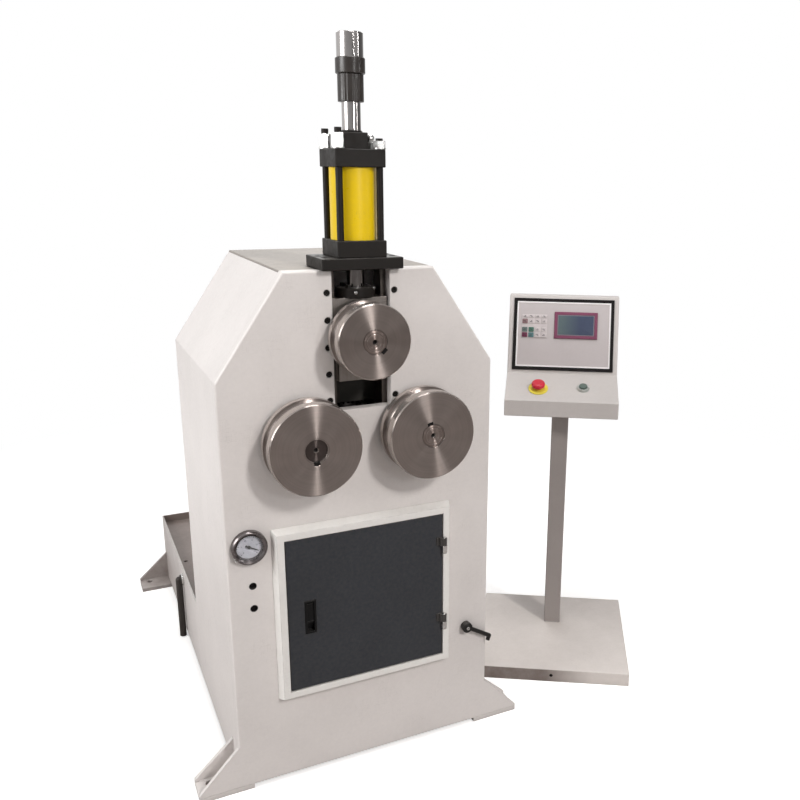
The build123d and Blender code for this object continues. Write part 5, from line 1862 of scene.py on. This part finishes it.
@dataclass
class AccessDoor(SubAssembly):
    """The front door with its hinges and latch.

    Attributes:
        cap_profile: The profile of the hinges' domed caps, in millimetres.
        pin_set: How far the pins' axis is from the left and the front of their box.
        leaf_tall: The height of a hinge's leaf.
        rib_inset: How far the paddle's finger rib ends from its sides.
        rib_rise: How far the rib is above the paddle's lower edge.
        rib_r: The rib's radius.
    """

    cap_profile: Outline = ((5.25, 0.0), (5.25, 0.8), (3.675, 1.9), (0.0, 2.4))
    pin_set: float = 0.006
    leaf_tall: float = 0.0197
    rib_inset: float = 0.002
    rib_rise: float = 0.005
    rib_r: float = 0.0012
    finishes: ClassVar[dict[str, Finish]] = {
        "door_panel": DOOR_PAINT,
        "hinge_leaves": HINGE_DARK,
        "hinge_pins": ZINC,
        "latch_cup": LATCH_BLACK,
        "latch_paddle": LATCH_BLACK,
    }

    def detail(self) -> None:
        """Add the hinges' caps and the pull's finger rib."""
        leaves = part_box("hinge_leaves")
        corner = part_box("hinge_pins")[0]
        outline = scaled(self.cap_profile)
        caps = []
        for top in (leaves[1].z, leaves[0].z + self.leaf_tall):
            spot = (corner.x + self.pin_set, corner.y + self.pin_set, top)
            caps.append(lathed(outline, Matrix.Translation(spot), steps=24))
        self.shop.fit("hinge_caps", gathered(caps), ZINC, Body.DOOR)
        low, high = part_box("latch_paddle")
        ends = (low.x + self.rib_inset, high.x - self.rib_inset)
        path = [Vector((x, low.y, low.z + self.rib_rise)) for x in ends]
        self.shop.fit("paddle_rib", swept(path, self.rib_r), LATCH_BLACK, Body.LATCH)


@dataclass
class PressureGauge(SubAssembly):
    """The pressure gauge on the front.

    Attributes:
        lens_profile: The lens's profile, in millimetres.
        lens_off: How far its back is in front of the dial.
        scale_r: The outer radius of the dial's scale.
        scale_from: Where the scale starts, in degrees from the right.
        scale_turn: How far it turns clockwise, in degrees.
        figures: The figures along the scale.
        figure_r: The radius that the figures are on.
        figure_tall: The figures' height.
        minor: How many steps there are from one figure to the next.
        long_mark: A mark at a figure.
        short_mark: A mark between figures.
        ink_t: The figures' thickness.
        lining_profile: The profile of the bezel's lining, in millimetres from the dial.
        clip_at: Where the bezel's clip is, in degrees from the right.
        lug: Each of the clip's two lugs.
        lug_off: How far each lug is from the clip's middle.
        lug_sink: How far the lugs' middles are inside the case's rim.
        lug_set: How far the lugs' backs are behind the case's front.
        bar_size: The length and radius of the clip's bar.
        bar_rise: How far the bar's axis is outside the case's rim.
        bar_set: How far that axis is behind the case's front.
    """

    lens_profile: Outline = ((0.0, 0.0), (29.3, 0.0), (29.3, 0.84), (17.58, 1.4), (0.0, 1.4))
    lens_off: float = 0.0085
    scale_r: float = 0.0262
    scale_from: float = 225.0
    scale_turn: float = 270.0
    figures: tuple[str, ...] = ("0", "5", "10", "15", "20", "25")
    figure_r: float = 0.0172
    figure_tall: float = 0.0054
    minor: int = 5
    long_mark: Plate = Plate(0.005, 0.0012, 0.0001, 0.0001, steps=2)
    short_mark: Plate = Plate(0.0032, 0.0006, 0.0001, 0.0001, steps=2)
    ink_t: float = 0.0001
    lining_profile: Outline = ((29.2, 0.0), (27.2, 0.0), (28.8, 8.5), (29.2, 8.5))
    clip_at: float = 214.0
    lug: Plate = Plate(0.006, 0.0022, 0.008, 0.0006, 0.0004)
    lug_off: float = 0.0032
    lug_sink: float = 0.001
    lug_set: float = 0.009
    bar_size: Pair = (0.012, 0.0012)
    bar_rise: float = 0.0006
    bar_set: float = 0.005
    finishes: ClassVar[dict[str, Finish]] = {
        "gauge_case": GAUGE_CHROME,
        "gauge_dial": DIAL_GREY,
        "gauge_needle": NEEDLE_BLACK,
    }

    def detail(self) -> None:
        """Add the dial's scale, the lens, the bezel's lining and its clip."""
        centre = middle("gauge_dial")
        centre.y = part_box("gauge_dial")[0].y
        self.print_scale(centre)
        lens_at = on_front(centre + TO_FRONT * self.lens_off)
        glass = lathed(scaled(self.lens_profile), lens_at, steps=64)
        lens = self.shop.fit("gauge_lens", glass, CLEAR_GLASS, Body.CABINET)
        lens.visible_shadow = False
        lining = lathed(scaled(self.lining_profile), on_front(centre), steps=64, closed=True)
        self.shop.fit("bezel_lining", lining, GAUGE_CHROME, Body.CABINET)
        self.fit_clip(centre)

    def print_scale(self, centre: Vector) -> None:
        """Print the marks and figures on the dial.

        Args:
            centre: The middle of the dial's face.
        """
        steps = (len(self.figures) - 1) * self.minor
        marks = []
        for step in range(steps + 1):
            figure, between = divmod(step, self.minor)
            along = spoke(self.scale_from - self.scale_turn * step / steps)
            mark = self.short_mark if between else self.long_mark
            at = centre + along * (self.scale_r - mark.width / 2)
            marks.append(mark.at(from_axes(at, along, TO_FRONT)))
            if not between:
                at = centre + along * self.figure_r + TO_FRONT * self.ink_t / 2
                marks.append(lettering(self.figures[figure], self.figure_tall, self.ink_t, on_front(at)))
        self.shop.fit("dial_scale", gathered(marks), DIAL_INK, Body.CABINET)

    def fit_clip(self, centre: Vector) -> None:
        """Put the clip on the bezel's lower left.

        Args:
            centre: The middle of the dial's face.
        """
        low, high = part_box("gauge_case")
        along, beside = spoke(self.clip_at), spoke(self.clip_at + 90)
        rim = Vector((centre.x, low.y, centre.z)) + along * (high.x - low.x) / 2
        back = rim - along * self.lug_sink - TO_FRONT * self.lug_set
        clip = []
        for side in (-1, 1):
            place = from_axes(back + beside * side * self.lug_off, along, TO_FRONT)
            clip.append(self.lug.at(place))
        bar = rim + along * self.bar_rise - TO_FRONT * self.bar_set
        bar_long, bar_r = self.bar_size
        reach = beside * bar_long / 2
        clip.append(swept([bar - reach, bar + reach], bar_r, sides=12))
        self.shop.fit("bezel_clip", gathered(clip), ZINC, Body.CABINET)


@dataclass
class HandValve(SubAssembly):
    """The hand valve with its bent lever.

    Attributes:
        screw: The diameter and height of the head of the screw in the lever's hub.
    """

    screw: Pair = (0.010, 0.0025)
    finishes: ClassVar[dict[str, Finish]] = {"valve_body": BLACK_STEEL, "valve_lever": LEVER_BLACK}

    def detail(self) -> None:
        """Add the screw in the hub."""
        hub = middle("valve_body")
        hub.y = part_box("valve_lever")[0].y
        self.shop.fit("hub_screw", screw_head(on_front(hub), *self.screw), BEARING_STEEL, Body.LEVER)


@dataclass
class HydraulicUnit(SubAssembly):
    """The gear motor, the pump motor and the oil tank inside.

    Attributes:
        flange_rim: How far the pump motor's flange stands out from its body.
        fins: How many fins the pump motor has.
        fin: A fin, upright on its end.
        fin_low: How far the fins' feet are above the motor's base.
        fin_sink: How far they reach into the motor's body.
        box: The pump motor's terminal box.
        box_off: How far the box's back is from the motor's body.
        box_rise: How far the box's middle is above the motor's.
        box_screw: The diameter and height of the heads of its screws.
        box_inset: How far the screws are from the box's sides.
        cap_at: Where the tank's filler cap is, from the tank's middle.
        cap_profile: The cap's profile, in millimetres.
    """

    flange_rim: float = 0.015
    fins: int = 28
    fin: Plate = Plate(0.007, 0.0025, 0.105, 0.0008, steps=3)
    fin_low: float = 0.026
    fin_sink: float = 0.0005
    box: Plate = Plate(0.062, 0.058, 0.034, 0.005, 0.002)
    box_off: float = 0.002
    box_rise: float = 0.020
    box_screw: Pair = (0.006, 0.002)
    box_inset: float = 0.007
    cap_at: Pair = (-0.11, -0.07)
    cap_profile: Outline = (
        (18.2, 0.0), (18.2, 12.0), (26.0, 13.0), (26.0, 24.0), (23.4, 27.0), (0.0, 28.0))
    finishes: ClassVar[dict[str, Finish]] = {
        "gear_motor": MOTOR_PAINT,
        "pump_motor": MOTOR_PAINT,
        "oil_tank": TANK_PAINT,
    }

    def detail(self) -> None:
        """Add the pump motor's fins and terminal box, and the tank's filler cap."""
        low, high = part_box("pump_motor")
        radius = (high.x - low.x) / 2 - self.flange_rim
        self.fit_fins(radius)
        self.fit_box(radius)
        spot = middle("oil_tank") + Vector((*self.cap_at, 0.0))
        spot.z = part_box("oil_tank")[1].z
        cap = lathed(scaled(self.cap_profile), Matrix.Translation(spot), steps=40)
        self.shop.fit("filler_cap", cap, LATCH_BLACK, Body.CABINET)

    def fit_fins(self, radius: float) -> None:
        """Put the cooling fins round the pump motor.

        Args:
            radius: The radius of the motor's body.
        """
        foot = middle("pump_motor")
        foot.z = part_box("pump_motor")[0].z + self.fin_low
        arm = radius + self.fin.width / 2 - self.fin_sink
        ribs = []
        for step in range(self.fins):
            turn = math.tau * step / self.fins
            along = Vector((math.cos(turn), math.sin(turn), 0.0))
            ribs.append(self.fin.at(from_axes(foot + along * arm, along, UP)))
        self.shop.fit("motor_fins", gathered(ribs), MOTOR_PAINT, Body.CABINET)

    def fit_box(self, radius: float) -> None:
        """Put the terminal box on the pump motor's front.

        Args:
            radius: The radius of the motor's body.
        """
        back = middle("pump_motor") + TO_FRONT * (radius + self.box_off) + UP * self.box_rise
        place = on_front(back)
        self.shop.fit("terminal_box", self.box.at(place), MOTOR_PAINT, Body.CABINET)
        screws = corner_screws(self.box, place, self.box_inset, self.box_screw)
        self.shop.fit("terminal_screws", screws, ZINC, Body.CABINET)


@dataclass
class OperatorDesk(SubAssembly):
    """The operator's desk on its post and slab.

    Attributes:
        trim: A piece of the white edge round the fascia, as long as it is wide.
        key_sheet: The sheet under the keys.
        sheet_sink: How far its back is behind the keypad's face.
        columns: The keys' places across the keypad.
        rows: The keys' places up the keypad, and their heights.
        tints: The keys that aren't pale, by row and column.
        key: A key of the usual height.
        key_roughness: The roughness of the keys that aren't pale.
        bars: The bars on every second key and on the others: their places across and up, and their
            lengths, in millimetres.
        bar: A bar of the greatest length.
        display_edge: The display's edge.
        display_sink: How far the edge's back is behind the bezel's front.
        display_colours: The display's colours at its left and right ends.
        display_roughness: The display's roughness.
        pane: The display's pane.
        pane_lift: How far the pane's back is in front of the edge's back.
        hatch: The rear hatch.
        hatch_screw: The diameter and height of the heads of its screws.
        hatch_inset: How far those screws are from its sides.
        plug_profile: The profile of the plug in the slab's edge, in millimetres from that edge.
    """

    trim: Plate = Plate(0.0045, 0.0045, 0.0012, 0.0015, 0.0004)
    key_sheet: Plate = Plate(0.077, 0.072, 0.0015, 0.003, 0.0004)
    sheet_sink: float = 0.0025
    columns: tuple[float, ...] = (-0.0285, -0.0092, 0.0101, 0.0294)
    rows: tuple[Pair, ...] = ((0.0300, 0.009), (0.0150, 0.0145), (-0.0105, 0.0145), (-0.0270, 0.0145))
    tints: ClassVar[dict[tuple[int, int], Colour]] = {
        (1, 0): tint(132, 104, 106),
        (2, 0): tint(92, 106, 103),
        (2, 1): tint(66, 106, 92),
        (3, 0): tint(98, 30, 62),
        (3, 1): tint(82, 118, 120),
    }
    key: Plate = Plate(0.0162, 0.0145, 0.0018, 0.002, 0.0008)
    key_roughness: float = 0.45
    bars: ClassVar[tuple[tuple[Point, Point], ...]] = (
        ((0.5, 1.4, 4.0), (-0.8, -1.6, 8.0)), ((-1.5, 1.6, 7.0), (1.2, -1.4, 5.0)))
    bar: Plate = Plate(0.008, 0.0015, 0.00012, 0.0004, steps=3)
    display_edge: Plate = Plate(0.1110, 0.0630, 0.0005, 0.001)
    display_sink: float = 0.0015
    display_colours: tuple[Colour, Colour] = (tint(84, 98, 100), tint(62, 70, 90))
    display_roughness: float = 0.14
    pane: Plate = Plate(0.106, 0.058, 0.0006, 0.002, 0.0002)
    pane_lift: float = 0.0004
    hatch: Plate = Plate(0.250, 0.200, 0.0015, 0.008, 0.0005)
    hatch_screw: Pair = (0.009, 0.003)
    hatch_inset: float = 0.012
    plug_profile: Outline = ((0.0, -4.0), (4.95, -4.0), (4.95, -1.2), (4.35, -0.6), (0.0, -1.0))
    finishes: ClassVar[dict[str, Finish]] = {
        "console_slab": SLAB_PAINT,
        "console_post": POST_PAINT,
        "desk_shell": DESK_PAINT,
        "gasket_frame": BLACK_RUBBER_AND_SHADE,
        "fascia": FASCIA_WHITE,
        "keypad": KEYPAD_GREY,
        "screen": SCREEN_MAROON,
        "estop_ring": ESTOP_YELLOW,
        "estop_button": ESTOP_RED,
        "start_bezel": START_BEZEL,
        "start_button": START_GREEN,
    }

    def detail(self) -> None:
        """Add the fascia's edge, keys, display, rear hatch, slab plug and the post's welds."""
        face = FlatFace.of("fascia", TO_FRONT)
        out = face.out
        self.fit_trim(face)
        self.fit_keys(FlatFace.of("keypad", out))
        self.fit_display(FlatFace.of("screen", out))
        self.fit_hatch(FlatFace.of("desk_shell", Vector((-out.x, -out.y, 0.0))))
        self.fit_plug(FlatFace.of("console_slab", Vector((out.x, out.y, 0.0))))
        self.lay_welds()

    def fit_trim(self, face: FlatFace) -> None:
        """Put the white edge round the fascia.

        Args:
            face: The fascia's front.
        """
        trim = self.trim.width
        wide, tall = face.width - trim, face.tall - trim
        strips = [((0.0, end * tall / 2), (face.width, trim)) for end in (-1, 1)]
        strips += [((side * wide / 2, 0.0), (trim, tall - trim)) for side in (-1, 1)]
        edge = [replace(self.trim, width=size[0], tall=size[1]).at(face.at(*at)) for at, size in strips]
        self.shop.fit("fascia_trim", gathered(edge), FASCIA_EDGE, Body.CABINET)

    def fit_keys(self, face: FlatFace) -> None:
        """Replace the keypad by a sheet with raised keys.

        Args:
            face: The keypad's upper face.
        """
        sheet = self.key_sheet.at(face.at(0, 0, -self.sheet_sink))
        self.shop.fit("key_sheet", sheet, KEYPAD_GREY, Body.CABINET, ["keypad"])
        pale, inks = [], []
        for row, (y, tall) in enumerate(self.rows):
            for column, x in enumerate(self.columns):
                place = face.at(x, y, self.key_sheet.thick - self.sheet_sink)
                key = replace(self.key, tall=tall).at(place)
                colour = self.tints.get((row, column))
                if colour:
                    name = f"key_{row}_{column}"
                    finish = Moulding(name.replace("_", " "), "keypad_grey", colour, self.key_roughness)
                    self.shop.fit(name, key, finish, Body.CABINET)
                else:
                    pale.append(key)
                inks += self.marked(place, self.bars[(row + column) % 2])
        self.shop.fit("keys_pale", gathered(pale), KEYPAD_GREY, Body.CABINET)
        self.shop.fit("key_marks", gathered(inks), DIAL_INK, Body.CABINET)

    def marked(self, place: Matrix, bars: Iterable[Point]) -> list[Solid]:
        """Print plain bars on a key.

        Args:
            place: The middle of the key's foot.
            bars: Each bar's place across and up, and its length, in millimetres.

        Returns:
            The bars.
        """
        marks = []
        for along, up, length in bars:
            spot = place @ Matrix.Translation((along * MM, up * MM, self.key.thick))
            marks.append(replace(self.bar, width=length * MM).at(spot))
        return marks

    def fit_display(self, face: FlatFace) -> None:
        """Put the display in its bezel.

        Args:
            face: The bezel's front.
        """
        edge = self.display_edge.at(face.at(0, 0, -self.display_sink))
        self.shop.fit("display_edge", edge, SCREEN_EDGE, Body.CABINET)
        near, far = self.display_colours
        reach = self.display_edge.width / 2
        left, right = (tuple(face.at(side * reach, 0).translation) for side in (-1, 1))
        finish = Display(
            "display glass", "screen_maroon", near, self.display_roughness, far=far, left=left, right=right)
        pane = self.pane.at(face.at(0, 0, self.pane_lift - self.display_sink))
        self.shop.fit("display_pane", pane, finish, Body.CABINET)

    def fit_hatch(self, face: FlatFace) -> None:
        """Screw the hatch to the desk's rear.

        Args:
            face: The desk's rear face.
        """
        place = face.at(0, 0)
        self.shop.fit("rear_hatch", self.hatch.at(place), DESK_PAINT, Body.CABINET)
        screws = corner_screws(self.hatch, place, self.hatch_inset, self.hatch_screw)
        self.shop.fit("hatch_screws", screws, ZINC, Body.CABINET)

    def fit_plug(self, face: FlatFace) -> None:
        """Close the hole in the slab's edge."""
        plug = lathed(scaled(self.plug_profile), face.at(0, 0), steps=24)
        self.shop.fit("slab_plug", plug, BLACK_RUBBER_AND_SHADE, Body.CABINET)

    def lay_welds(self) -> None:
        """Weld the post to the slab."""
        post = FlatFace.of("console_post", TO_FRONT)
        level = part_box("console_slab")[1].z
        across, behind = post.across, -post.out
        front = Vector((post.centre.x, post.centre.y, level))
        half = post.width / 2
        corners = [front - across * half, front + across * half]
        corners += [corners[1] + behind * post.width, corners[0] + behind * post.width]
        beads = [weld_bead(corner, after) for corner, after in zip(corners, corners[1:] + corners[:1])]
        self.shop.fit("post_welds", gathered(beads), POST_PAINT, Body.CABINET)


def main() -> None:
    """Set the camera and the studio, then build each sub-assembly."""
    logging.basicConfig(level=logging.INFO, format="%(name)s: %(message)s")
    StudioCamera().build()
    Studio().build()
    shop = Workshop()
    for kind in (
        CabinetShell,
        RollerStation,
        RamCylinder,
        AccessDoor,
        PressureGauge,
        HandValve,
        HydraulicUnit,
        OperatorDesk,
    ):
        kind(shop).build()
        log.info("%s is built", kind.__name__)


if __name__ == "__main__":
    main()
